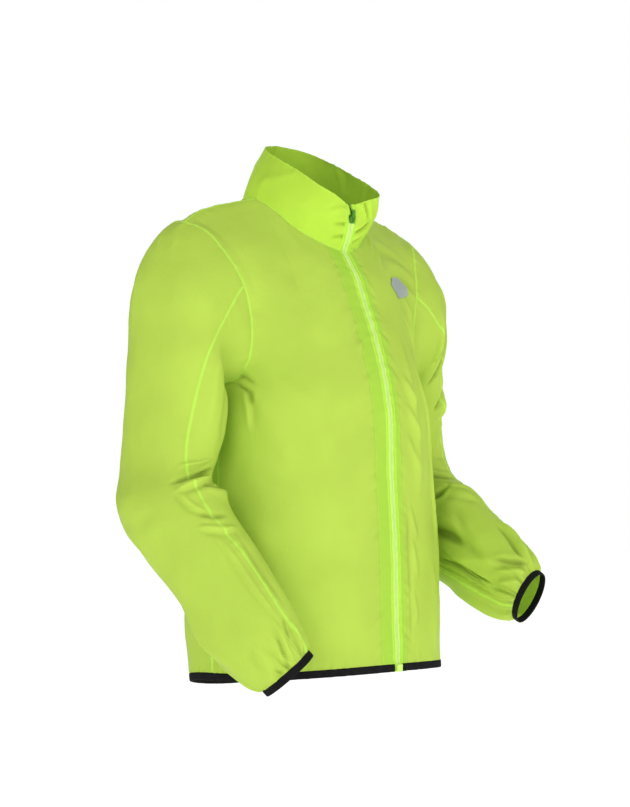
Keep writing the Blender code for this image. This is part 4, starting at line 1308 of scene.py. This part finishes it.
@dataclass(frozen=True)
class Binding:
    """Narrow elastic folded round a raw edge, with fine ribs where it has drawn in."""

    height: float = 0.010
    overlap: float = 0.0010
    proud: float = 0.0008
    thickness: float = 0.0027
    rib_pitch: float = 0.0021
    rib_share: float = 0.14
    rib_swell: float = 0.01
    rib_wander: float = 2.0
    rib_unrest: Waves = Waves(0.03, 51)
    step: float = 0.0006
    sides: int = 14
    squareness: float = 0.55
    hem_rows: int = 4
    cuff_rows: int = 9

    def sections(self, edge: np.ndarray, down: np.ndarray, outs: np.ndarray) -> np.ndarray:
        """A ring of points round the band's thickness at each step along an edge."""
        total = distances_along(edge)[-1]
        at = np.linspace(0, total, int(total / self.step))
        line, ways, normals = (read_along(edge, values, at) for values in (edge, down, outs))
        ways, normals = unit(ways), unit(normals)
        turn = np.linspace(0, 2 * np.pi, self.sides, endpoint=False)
        low, out = (np.sign(wave) * np.abs(wave) ** self.squareness for wave in (np.cos(turn), np.sin(turn)))
        ribs = np.sin(2 * np.pi * at / self.rib_pitch + self.rib_wander * self.rib_unrest.at(line))[:, None]
        half = (self.height + self.overlap) / 2
        drop = half - self.overlap - half * low * (1 + self.rib_swell * ribs)
        thick = self.proud - self.thickness / 2 * (1 - out * (1 + self.rib_share * ribs))
        return line[:, None] + ways[:, None] * drop[..., None] + normals[:, None] * thick[..., None]

    def hem(self, panels: Panels) -> Piece:
        """The hem's band, from the left zip edge round the back to the right one."""
        parts = [(panels[name], cut) for name, cut in (("front_left", 0), ("back", 1), ("front_right", 1))]
        edge = np.concatenate([panel.points[0][cut:] for panel, cut in parts])
        above = np.concatenate([panel.points[self.hem_rows][cut:] for panel, cut in parts])
        outs = np.concatenate([panel.normals[0][cut:] for panel, cut in parts])
        sections = self.sections(edge, unit(edge - above), outs)
        return mesh_object("hem_binding_elastic", sections, tube_faces(len(sections), self.sides, False))

    def cuff(self, side: Side, panels: Panels) -> Piece:
        """One cuff's band, a closed ring square to the forearm."""
        outer, under = (panels[f"sleeve_{side.word}_{part}"] for part in ("outer", "under"))
        edge = np.concatenate([outer.points[0], under.points[0][1:]])
        above = np.concatenate([outer.points[self.cuff_rows], under.points[self.cuff_rows][1:]])
        down = unit(edge.mean(axis=0) - above.mean(axis=0))
        outs = np.concatenate([outer.normals[0], under.normals[0][1:]])
        outs = unit(outs - (outs @ down)[:, None] * down)
        sections = self.sections(edge, np.tile(down, (len(edge), 1)), outs)[:-1]
        faces = tube_faces(len(sections), self.sides, True)
        return mesh_object(f"cuff_binding_{side.word}_elastic", sections, faces)

    def build(self, panels: Panels) -> dict[str, Piece]:
        """The hem's and the cuffs' bands, each in the place of its CAD node."""
        made = {"hem_binding": self.hem(panels)}
        made |= {f"cuff_binding_{side.word}": self.cuff(side, panels) for side in Side}
        for node, piece in made.items():
            place(dress(piece, Finishes.elastic.material()), "black_elastic", node)
        return made


@dataclass(frozen=True)
class Zip:
    """The front zip: tapes between the fronts, interlocking loops, and lips over its open top."""

    half_width: float = 0.0085
    tape_width: float = 0.0115
    tape_steps: int = 16
    tape_clear: float = 0.00015
    tape_sunk: float = 0.0002
    tape_tuck: float = 0.0012
    tape_tuck_range: tuple = (0.97, 1.15)
    tape_roll: float = 0.0022
    tape_roll_width: float = 0.004
    tape_thickness: float = 0.0006
    band_height: float = 0.010
    closed_below: float = -0.034
    open_above: float = -0.026
    top_gap: float = 0.0042
    top_sway: float = 0.0022
    sway_length: float = 0.0055
    pale_from: float = 0.0034
    guard_half_width: float = 0.0070
    guard_sunk: float = 0.0032
    guard_columns: int = 9
    guard_rows_short: int = 2
    loop: Bead = Bead(0.0042, 0.00105, 0.0009, 0.00125)
    loop_middle: float = 0.0018
    loop_slant: float = 0.16
    loop_lift: float = 0.0001
    lip_height: float = 0.0160
    lip_columns: int = 9
    lip_gap_share: float = 0.8
    lip_swell: float = 0.0012
    lip_roundness: float = 0.6
    lip_roll: float = 1.1
    lip_clear: float = 0.0002
    lip_foot: float = 0.004
    lip_thickness: float = 0.0005
    stop_size: tuple = (0.0022, 0.0016, 0.0030)
    stop_grid: tuple = (9, 12)
    stop_end: float = 0.02
    stop_lift: float = 0.0004
    stop_rows: int = 6

    def edges(self, panels: Panels) -> tuple[np.ndarray, np.ndarray, np.ndarray]:
        """The zip's left and right sewn edges and its outward normals, from the hem's foot to the top."""
        collar = panels["collar"]
        left = np.concatenate([panels["front_left"].points[:, 0], collar.points[1:, 0]])
        right = np.concatenate([panels["front_right"].points[:, -1], collar.points[1:, -1]])
        outs = panels["front_left"].normals[:, 0] + panels["front_right"].normals[:, -1]
        outs = np.concatenate([outs, collar.normals[1:, 0] + collar.normals[1:, -1]])
        left, right = (np.concatenate([line[:1] - [[0, 0, self.band_height]], line]) for line in (left, right))
        return left, right, unit(np.concatenate([outs[:1], outs]))

    def surface(self, panels: Panels, xs: np.ndarray, sunk: np.ndarray) -> tuple[np.ndarray, np.ndarray]:
        """A grid over the zip: one column for each row of distances from its middle line.

        Args:
            panels: the worked cloth pieces.
            xs: distances to the wearer's left for each row and column.
            sunk: how far below the cloth each point lies.

        Returns:
            The grid's points and its outward normals.
        """
        left, right, outs = self.edges(panels)
        middle, half = (left + right) / 2, (left - right) / 2
        points = middle[:, None] + half[:, None] * (xs / self.half_width)[..., None]
        normals = np.repeat(outs[:, None], xs.shape[1], axis=1)
        return points - normals * sunk[..., None], normals

    def opening(self, heights: np.ndarray, side: Side) -> tuple[np.ndarray, np.ndarray]:
        """Half the gap between the tapes, and how far it sways to one side, at each height."""
        rise = soft_step(self.closed_below, self.open_above, heights)
        sway = np.sin((heights - self.closed_below) / self.sway_length) * self.top_sway
        return self.top_gap * rise, sway * rise * side.value

    def tape(self, side: Side, panels: Panels) -> Piece:
        """One woven tape, its outer edge tucked behind the cloth."""
        gap, sway = self.opening(self.edges(panels)[0][:, 2], side)
        inner = (sway + gap + self.tape_clear)[:, None]
        xs = inner + (self.tape_width - inner) * np.linspace(0, 1, self.tape_steps)
        tuck = soft_step(*(self.half_width * part for part in self.tape_tuck_range), xs)
        roll = soft_step(0.0, self.top_gap, gap)[:, None] * soft_step(self.tape_roll_width, 0.0, xs - inner)
        sunk = self.tape_sunk + self.tape_tuck * tuck + self.tape_roll * roll
        xs = xs * side.value
        if side is Side.RIGHT:
            xs, sunk = xs[:, ::-1], sunk[:, ::-1]
        points, normals = self.surface(panels, xs, sunk)
        places = places_on(xs, distances_along(points[:, 0])[:, None])
        pale = np.maximum(np.abs(xs) - self.pale_from, 0.0)
        name = f"zip_tape_{side.word}"
        piece = wall_object(
            f"{name}_weave", points, normals, self.tape_thickness, places, seam=pale, doubled=-1.0
        )
        return place(dress(piece, Finishes.tape.material()), "zip_tape", name)

    def loops(self, panels: Panels, beads: BeadRows) -> None:
        """The two rows of nylon loops, closed from the box to the slider."""
        xs = np.zeros((len(self.edges(panels)[0]), 1))
        points, normals = self.surface(panels, xs, xs)
        line, outs = points[:, 0], normals[:, 0]
        shut = line[:, 2] < self.closed_below
        row = row_along(line[shut], outs[shut], self.loop.pitch, self.loop_lift)
        rows = []
        for side in Side:
            half_step = row.ways * self.loop.pitch / 4 * side.value
            across = np.array([side.value, 0.0, 0.0])
            ways = unit(across + row.ways * self.loop_slant)
            rows.append(Row(row.points + half_step + across * self.loop_middle, ways, row.outs))
        place(beads.build("zip_loops", rows, self.loop, Finishes.coil.material()), "zip_tape")

    def lip(self, side: Side, panels: Panels) -> tuple[np.ndarray, np.ndarray]:
        """The points and normals of one lip, rolled up from the cloth towards the gap."""
        left = self.edges(panels)[0]
        ups = distances_along(left)
        gap, sway = self.opening(left[:, 2], side)
        share = np.linspace(0, 1, self.lip_columns)
        inner = (sway + gap * self.lip_gap_share)[:, None]
        xs = inner + (self.half_width - self.lip_clear - inner) * share
        swell = self.lip_swell * np.sin(np.pi * np.clip(share * self.lip_roll, 0, 1)) ** self.lip_roundness
        rows = ups > ups[-1] - self.lip_height
        foot = soft_step(0.0, self.lip_foot, ups - ups[rows][0])[:, None]
        points, normals = self.surface(panels, xs * side.value, -(self.lip_clear + swell * foot))
        order = slice(None, None, -1 if side is Side.RIGHT else 1)
        return points[rows][:, order], normals[rows][:, order]

    def lips(self, panels: Panels) -> None:
        """The garage: a soft lip folded over the top of each tape, with a gap left between over the guard, whose
        dark colour is painted shade.
        """
        grids = [self.lip(side, panels) for side in Side]
        points = np.concatenate([wall_points(*grid, self.lip_thickness) for grid in grids])
        faces = grid_faces(*grids[0][0].shape[:2])
        piece = mesh_object("zip_garage_lips", points, np.concatenate([faces, faces + len(points) // 2]))
        place(dress(piece, Finishes.lip.material()), "facing_cloth", "zip_garage")

    def guard(self, panels: Panels) -> None:
        """The strip of cloth behind the zip's open top; its dark colour is painted shade."""
        heights = self.edges(panels)[0][:, 2]
        across = np.linspace(-1, 1, self.guard_columns) * self.guard_half_width
        xs = np.tile(across, (len(heights), 1))
        points, normals = self.surface(panels, xs, np.full(xs.shape, self.guard_sunk))
        rows = np.flatnonzero(heights > self.closed_below)[:-self.guard_rows_short]
        points, normals = points[rows], normals[rows]
        places = places_on(across, distances_along(points[:, 0])[:, None])
        piece = wall_object("zip_guard", points, normals, self.tape_thickness, places, seam=1.0, doubled=-1.0)
        place(dress(piece, Finishes.guard.material()), "facing_cloth")

    def stop(self, panels: Panels) -> None:
        """The small dark stop at the top of the right-hand tape."""
        left, right, outs = self.edges(panels)
        rings, sides = self.stop_grid
        turn, rise = np.linspace(0, 2 * np.pi, sides, endpoint=False), np.linspace(-1, 1, rings)
        across, deep, high = (size / 2 for size in self.stop_size)
        round_off = np.sqrt(np.clip(1 - rise**4, self.stop_end, 1))[:, None]
        to_left = np.array([1.0, 0.0, 0.0])
        centre = (left[-1] + right[-1]) / 2 - (self.top_gap + across) * to_left + outs[-1] * self.stop_lift
        points = (
            centre
            + (np.cos(turn) * across * round_off)[..., None] * to_left
            - (np.sin(turn) * deep * round_off)[..., None] * outs[-1]
            + (rise * high)[:, None, None] * unit(left[-1] - left[-self.stop_rows])
        )
        piece = mesh_object("zip_top_stop", points, tube_faces(rings, sides, False))
        place(dress(piece, Finishes.stop.material()), "zip_plastic")

    def build(self, panels: Panels, beads: BeadRows) -> dict[Side, Piece]:
        """Every part of the zip; the slider, its pull and the box stay the CAD's own."""
        tapes = {side: self.tape(side, panels) for side in Side}
        self.loops(panels, beads)
        self.lips(panels)
        self.guard(panels)
        self.stop(panels)
        hard = {"zip_slider": Finishes.enamel, "zip_pull": Finishes.enamel, "zip_box": Finishes.moulded}
        for node, finish in hard.items():
            dress(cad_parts[node], finish.material())
        return tapes


@dataclass(frozen=True)
class Facing:
    """The strip behind a front along the zip."""

    clear: float = 0.0003
    thickness: float = 0.0003
    columns: int = 9
    rows_short: int = 8

    def build(self, side: Side, panels: Panels, cloth: Cloth) -> Piece:
        """One strip, as wide as the double band that shows through the front."""
        panel = panels[f"front_{side.word}"]
        order = slice(None, None, -1 if side is Side.RIGHT else 1)
        points = panel.points[:-self.rows_short, order]
        normals = panel.normals[:-self.rows_short, order]
        at = np.linspace(self.clear, cloth.facing_width(side), self.columns)
        lines = np.stack([read_along(row, row, at) for row in points])
        outs = unit(np.stack([read_along(row, values, at) for row, values in zip(points, normals)]))
        lines = (lines - outs * (cloth.thickness + self.clear))[:, order]
        places = places_on(side.value * at[order], distances_along(lines[:, 0])[:, None])
        name = f"zip_facing_{side.word}"
        piece = wall_object(
            f"{name}_strip", lines, outs[:, order], self.thickness, places, seam=1.0, doubled=1.0
        )
        return place(dress(piece, Finishes.cloth.material()), "facing_cloth", name)


@dataclass(frozen=True)
class Patch:
    """The plain reflective patch on the left chest, its corners rounded."""

    across: tuple = (0.42, 0.70)
    heights: tuple = (1.585, 1.675)
    steps: int = 28
    slant: float = 0.06
    corner: float = 0.03
    lift: float = 0.0007
    thickness: float = 0.0003

    @staticmethod
    def grid_places(parts: np.ndarray, limits: tuple, steps: np.ndarray) -> np.ndarray:
        """Where parts from -1 to 1 between two limits lie, counted in a grid's steps."""
        return np.interp(limits[0] + (parts + 1) / 2 * (limits[1] - limits[0]), steps, np.arange(len(steps)))

    def build(self, body: BodyForm, panel: Panel) -> None:
        """The patch, laid on the worked left front."""
        columns, rows = body.steps()
        side = np.linspace(-1, 1, self.steps + 1)
        right, up = np.meshgrid(side, side)
        right, up = right * (1 - self.corner * up**4), up * (1 - self.corner * right**4)
        lean = 2 * self.slant / (self.across[1] - self.across[0])
        column = self.grid_places(right - lean * up, self.across, columns)
        row = self.grid_places(up, self.heights, rows)
        c, r = column.astype(int), row.astype(int)
        right_share, up_share = (column - c)[..., None], (row - r)[..., None]

        def read(values: np.ndarray) -> np.ndarray:
            """Values of the front's grid between its points."""
            low = values[r, c] * (1 - right_share) + values[r, c + 1] * right_share
            high = values[r + 1, c] * (1 - right_share) + values[r + 1, c + 1] * right_share
            return low * (1 - up_share) + high * up_share

        normals = unit(read(panel.normals))
        points = read(panel.points) + normals * (self.lift + self.thickness)
        piece = wall_object("chest_patch_film", points, normals, self.thickness, read(panel.places))
        place(dress(piece, Finishes.film.material()), "reflective_film", "chest_patch")


# ---- Studio -----------------------------------------------------------------------------------------

class Softbox(NamedTuple):
    """A square area light: its angles from the camera and the ground, distance, size and power."""

    name: str
    turn: float
    elevation: float
    away: float
    size: float
    power: float


@dataclass(frozen=True)
class Studio:
    """The camera at the photo's angle, soft lights, pale surroundings and a pale floor."""

    azimuth: float = -48.0
    distance: float = 3.8
    metres_per_pixel: float = 0.00142
    frame_height: int = 807
    sensor_height: float = 36.0
    aim_right: float = 0.00426
    aim_height: float = -0.36
    lift_pixels: float = 52.0
    softboxes: tuple = (
        Softbox("key", -16, 14, 3.4, 1.3, 41.0),
        Softbox("fill", 62, 10, 3.4, 1.3, 36.0),
        Softbox("back_fill", 180, 25, 3.2, 2.4, 20.0),
    )
    surroundings: float = 0.53
    floor_height: float = -1.35
    floor_size: float = 40.0
    floor_grey: float = 0.9
    floor_roughness: float = 0.9
    floor_glow: float = 0.62

    def build_camera(self) -> None:
        """The level camera, with the small shift of the photo's framing."""
        turn = np.radians(self.azimuth)
        right, forward = Vector((np.cos(turn), np.sin(turn), 0)), Vector((-np.sin(turn), np.cos(turn), 0))
        data = bpy.data.cameras.new("camera")
        data.sensor_fit = "VERTICAL"
        data.sensor_height = self.sensor_height
        data.lens = self.sensor_height * self.distance / (self.frame_height * self.metres_per_pixel)
        data.shift_y = self.lift_pixels / self.frame_height
        camera = bpy.data.objects.new("camera", data)
        camera.location = right * self.aim_right - forward * self.distance + Vector((0, 0, self.aim_height))
        camera.rotation_euler = (np.pi / 2, 0, turn)
        bpy.context.scene.collection.objects.link(camera)
        bpy.context.scene.camera = camera

    def build_lights(self) -> None:
        """A broad key beside the camera, fills all round, and even white surroundings."""
        for box in self.softboxes:
            data = bpy.data.lights.new(box.name, "AREA")
            data.size, data.energy = box.size, box.power
            around, up = np.radians(self.azimuth + box.turn), np.radians(box.elevation)
            way = Vector((np.sin(around) * np.cos(up), -np.cos(around) * np.cos(up), np.sin(up)))
            light = bpy.data.objects.new(box.name, data)
            light.location = Vector((0, 0, self.aim_height)) + way * box.away
            light.rotation_mode = "QUATERNION"
            light.rotation_quaternion = (-way).to_track_quat("-Z", "Y")
            bpy.context.scene.collection.objects.link(light)
        world = bpy.data.worlds.new("surroundings")
        graph = empty_graph(world)
        seen = graph.node("ShaderNodeLightPath").outputs["Is Camera Ray"]
        strength = graph.ramp(seen, 0.0, 1.0, self.surroundings, 1.0)
        white = graph.node("ShaderNodeBackground", {"Color": (1.0, 1.0, 1.0, 1.0), "Strength": strength})
        graph.node("ShaderNodeOutputWorld", {"Surface": white.outputs[0]})
        bpy.context.scene.world = world

    def build_floor(self) -> None:
        """A wide, plain, pale floor, well below the jacket, which hangs as if worn."""
        half, z = self.floor_size / 2, self.floor_height
        corners = np.array([(-half, -half, z), (half, -half, z), (half, half, z), (-half, half, z)])
        floor = mesh_object("floor", corners, [[0, 1, 2, 3]], smooth=False)
        material = bpy.data.materials.new("pale_floor")
        inputs = {
            "Base Color": (self.floor_grey, self.floor_grey, self.floor_grey, 1.0),
            "Roughness": self.floor_roughness,
            "Emission Color": (1.0, 1.0, 1.0, 1.0),
            "Emission Strength": self.floor_glow,
        }
        graph = empty_graph(material)
        shader = graph.node("ShaderNodeBsdfPrincipled", inputs)
        graph.node("ShaderNodeOutputMaterial", {"Surface": shader.outputs[0]})
        dress(floor, material)

    def build(self) -> None:
        """Everything round the jacket."""
        bpy.context.scene.view_settings.view_transform = "Standard"
        self.build_camera()
        self.build_lights()
        self.build_floor()


def creases(*rows: tuple) -> tuple:
    """Creases from rows in millimetres: a place on the cut, another one, then bow, width and height.

    A place is the distance from a piece's middle or top line, then its height, or the way down the arm.
    """
    return tuple(Crease(*(value * MM for value in row)) for row in rows)


RIGHT_SLEEVE_CREASES = creases(
    (-12, 12, -4, 44, 2, 3.5, 2.2), (4, 16, 16, 46, 2, 3.5, 1.8), (-25, 30, -35, 100, 4, 9, 2),
    (44, 287, 150, 274, 6, 5, -6.2), (46, 301, 142, 290, 6, 4.6, 5.2), (66, 262, 130, 252, 4, 5, 3.4),
    (56, 300, 78, 352, 4, 4.6, 4.4), (48, 362, 112, 392, 4, 4.8, 4.4), (60, 346, 110, 368, 3, 4.5, -4),
    (90, 305, 160, 322, 4, 6, -4.4), (68, 385, 70, 530, 3, 5, 2.6), (100, 390, 98, 520, 3, 6, -2.6),
    (-60, 300, 20, 320, 6, 12, -2.4), (-70, 260, 0, 290, 6, 13, 2.6), (-46, 430, -22, 550, 4, 8, 3.4),
    (-60, 440, -40, 565, 4, 7, -3.4), (80, 520, 58, 556, -3, 4, -3), (62, 515, 30, 588, -3, 4.2, 3.4),
    (90, 530, 70, 588, -3, 4.2, 3.4), (46, 535, 18, 586, -2, 4, -2.6), (10, 530, -8, 586, 2, 5, 2.6),
    (105, 60, 110, 220, 4, 8, 3.4), (135, 50, 140, 230, 5, 9, -3.6), (240, 100, 230, 260, 5, 12, 2.8),
    (280, 280, 200, 300, 5, 10, 3.4), (180, 360, 190, 540, 4, 9, 2.6), (240, 400, 250, 560, 4, 9, 2.8),
)
LEFT_SLEEVE_CREASES = creases(
    (30, 190, 30, 20, 0, 42, -8.5), (52, 150, 110, 196, 4, 5.5, 5), (58, 136, 112, 176, 4, 5, -5.5),
    (-10, 14, -2, 46, 2, 3.5, 2), (66, 36, 122, 66, 4, 5, 6.2), (60, 60, 126, 110, 6, 5.5, -6),
    (45, 26, 64, 110, 4, 6, 3.4), (74, 120, 104, 250, 4, 7, 3.4), (60, 262, 130, 270, 4, 6, -1.6),
    (60, 284, 120, 290, 4, 6, 1.2), (155, 300, 84, 326, -6, 5.5, -6.2), (150, 318, 84, 392, -8, 4.5, 5.6),
    (164, 345, 100, 425, -6, 8, -3), (204, 370, 180, 470, 4, 8.5, -12.5), (215, 436, 165, 535, -4, 8.5, 5),
    (236, 440, 206, 540, -4, 8.5, -8.5), (275, 425, 252, 545, 4, 5.5, 5.2), (258, 425, 232, 530, 4, 6, -6),
    (300, 435, 290, 560, 3, 6, 3.4), (188, 528, 142, 578, -3, 4.6, 5.6), (174, 515, 128, 568, -3, 4.8, -5),
    (98, 460, 124, 574, 3, 5.8, 6), (150, 410, 190, 520, -4, 7.5, -3), (120, 360, 200, 352, 6, 6, -5),
    (114, 470, 136, 560, 2, 5.5, -4.4), (205, 540, 170, 578, 0, 4.2, 3.6), (240, 540, 215, 578, 0, 4.5, 3.6),
    (-60, 250, 10, 285, 6, 13, 2.8), (-65, 300, 0, 320, 6, 12, -2.6), (55, 430, 74, 570, 4, 5.5, 3.4),
    (20, 470, 30, 578, 4, 6, 3.4), (-30, 470, -20, 578, 4, 6, 3.2), (-55, 430, -62, 578, 4, 6.5, 3),
)


def sleeve_shell(cut: Cut, rows: tuple, run_over: str) -> Shell:
    """How a piece of a sleeve is worked; the creases run over the seam at one of its edges."""
    pucker, gather = Pucker(0.0006, 0.011, 0.009), Pucker(0.0030, 0.0105, 0.030)
    return Shell(cut, "sleeve_cloth", rows, pucker=pucker, gather=gather, run_over=run_over)


SHELLS = {
    "front_right": Shell(Cut(0.300, 0.697, 0.160), "front_cloth", creases=creases(
        (-228, -232, -192, -262, 2, 4.2, -3.6), (-230, -252, -204, -296, 3, 4.5, -4),
        (-224, -262, -210, -334, 3, 5, 3.2), (-45, -95, -100, -150, 4, 9, 0.8),
        (-205, -225, -110, -300, 6, 12, 1.2), (-215, -262, -150, -395, 8, 14, 1.7),
        (-240, -360, -215, -520, -5, 18, -2.3), (-60, -180, -75, -420, 6, 24, 0.9),
        (-130, -420, -115, -640, 4, 22, 0.9), (-190, -500, -180, -645, 3, 16, 1.2),
        (-32, -330, -52, -372, 2, 6, 0.7), (-32, -440, -56, -480, 2, 7, 0.7),
    )),
    "front_left": Shell(Cut(0.300, 0.697, 0.160), "front_cloth", creases=creases(
        (60, -112, 200, -116, 4, 6, 2.9), (75, -128, 205, -135, 4, 6, 3.2), (100, -146, 200, -160, 3, 6, 2.9),
        (60, -95, 170, -98, 4, 8, 2.1), (120, -150, 185, -225, 4, 6, 3.8), (95, -165, 160, -260, 5, 7, 3.2),
        (80, -200, 130, -500, 10, 5.5, 4.8), (50, -190, 52, -440, 4, 10, 4.2),
        (150, -250, 170, -520, 6, 12, -4.2), (30, -245, 56, -295, 3, 6, 3.5), (28, -285, 60, -345, 3, 6, 3.5),
        (26, -330, 52, -385, 3, 6, 2.9), (24, -430, 40, -480, 2, 5, 2.6), (24, -475, 42, -535, 2, 6, 2.9),
        (22, -540, 38, -600, 2, 5, 2.6), (20, -400, 22, -640, 3, 4.5, -2.6), (100, -500, 95, -640, 4, 14, 3.2),
        (200, -300, 195, -560, 5, 18, 4.2),
    )),
    "back": Shell(Cut(0.560, 0.712, 0.330), "back_cloth", creases=creases(
        (-185, -150, -60, -190, 6, 10, 1.8), (190, -145, 70, -195, -6, 10, 1.8),
        (-200, -240, -120, -400, 10, 14, 2.8), (205, -250, 115, -420, -10, 14, 2.8),
        (-225, -300, -160, -520, 8, 13, -2.4), (230, -310, 165, -540, -8, 13, -2.4),
        (-45, -120, -30, -300, 4, 20, 1.6), (55, -100, 35, -320, -5, 22, 1.6),
        (-90, -380, -70, -640, 6, 18, 2.6), (20, -420, 10, -660, -4, 16, 2.2),
        (110, -400, 100, -650, 5, 18, 2.6), (-60, -50, 50, -58, -4, 8, 1.2), (-150, -90, -100, -150, 3, 9, 1.2),
        (155, -85, 105, -150, -3, 9, 1.2),
    )),
    "collar": Shell(Cut(0.556, 0.082, 0.038), "collar_cloth", sewn=("bottom", "left", "right", "top"),
        pucker=Pucker(0.00045, 0.010, 0.008), unrest=0.0006, fade=0.003, creases=creases(
        (290, 18, 245, 30, 2, 3.5, 2.7), (290, 32, 250, 46, 2, 3.5, 2.9), (288, 8, 250, 14, 1, 3, 1.7),
        (238, 74, 250, 36, 2, 3.5, 2.6), (256, 74, 262, 42, 1, 3, 2.2), (222, 68, 226, 30, 2, 4.5, 1.7),
        (152, 70, 160, 10, 2, 4, -3.1), (98, 64, 124, 14, 2, 4, -3.1), (-286, 56, -240, 30, -2, 4.2, -3),
        (-286, 34, -250, 10, -2, 3.6, -2.6), (289, 26, 240, 40, 2, 3, -2.8), (289, 11, 246, 20, 2, 2.8, -2.4),
        (246, 78, 256, 40, 2, 3, -2.2), (-282, 62, -246, 56, -2, 4, 2.4), (-240, 72, -225, 40, 2, 4.5, 1.7),
        (-150, 70, -120, 10, 4, 10, 1.5), (-55, 62, -40, 8, 3, 9, 1.5), (50, 62, 40, 8, 3, 9, 1.5),
    )),
    "sleeve_right_outer": sleeve_shell(Cut(0.258, 0.660, 0.131), RIGHT_SLEEVE_CREASES, "right"),
    "sleeve_right_under": sleeve_shell(Cut(0.357, 0.640, 0.115), RIGHT_SLEEVE_CREASES, "left"),
    "sleeve_left_outer": sleeve_shell(Cut(0.258, 0.660, 0.140), LEFT_SLEEVE_CREASES, "left"),
    "sleeve_left_under": sleeve_shell(Cut(0.357, 0.640, 0.104), LEFT_SLEEVE_CREASES, "right"),
}


def declare_cloth() -> None:
    """Looks up the width of the strip behind each front, and keeps nothing."""
    for side in Side:
        Cloth.facing_width(side)


def main() -> None:
    """Builds the jacket's looks and the studio round it."""
    logging.basicConfig(level=logging.INFO, format="%(name)s: %(message)s")
    beads, body = BeadRows(), BodyForm()
    sleeves = (SleeveForm(body, Side.RIGHT, RIGHT_RINGS), SleeveForm(body, Side.LEFT, LEFT_RINGS))
    cloth = Cloth(body, CollarForm(body), sleeves, SHELLS)
    panels = cloth.panels()
    pieces = cloth.build(panels)
    bands = Binding().build(panels)
    tapes = Zip().build(panels, beads)
    facings = {side: Facing().build(side, panels, cloth) for side in Side}
    Patch().build(body, panels["front_left"])
    Stitching().build(panels, beads)
    declare_cloth()
    Studio().build()


if __name__ == "__main__":
    main()
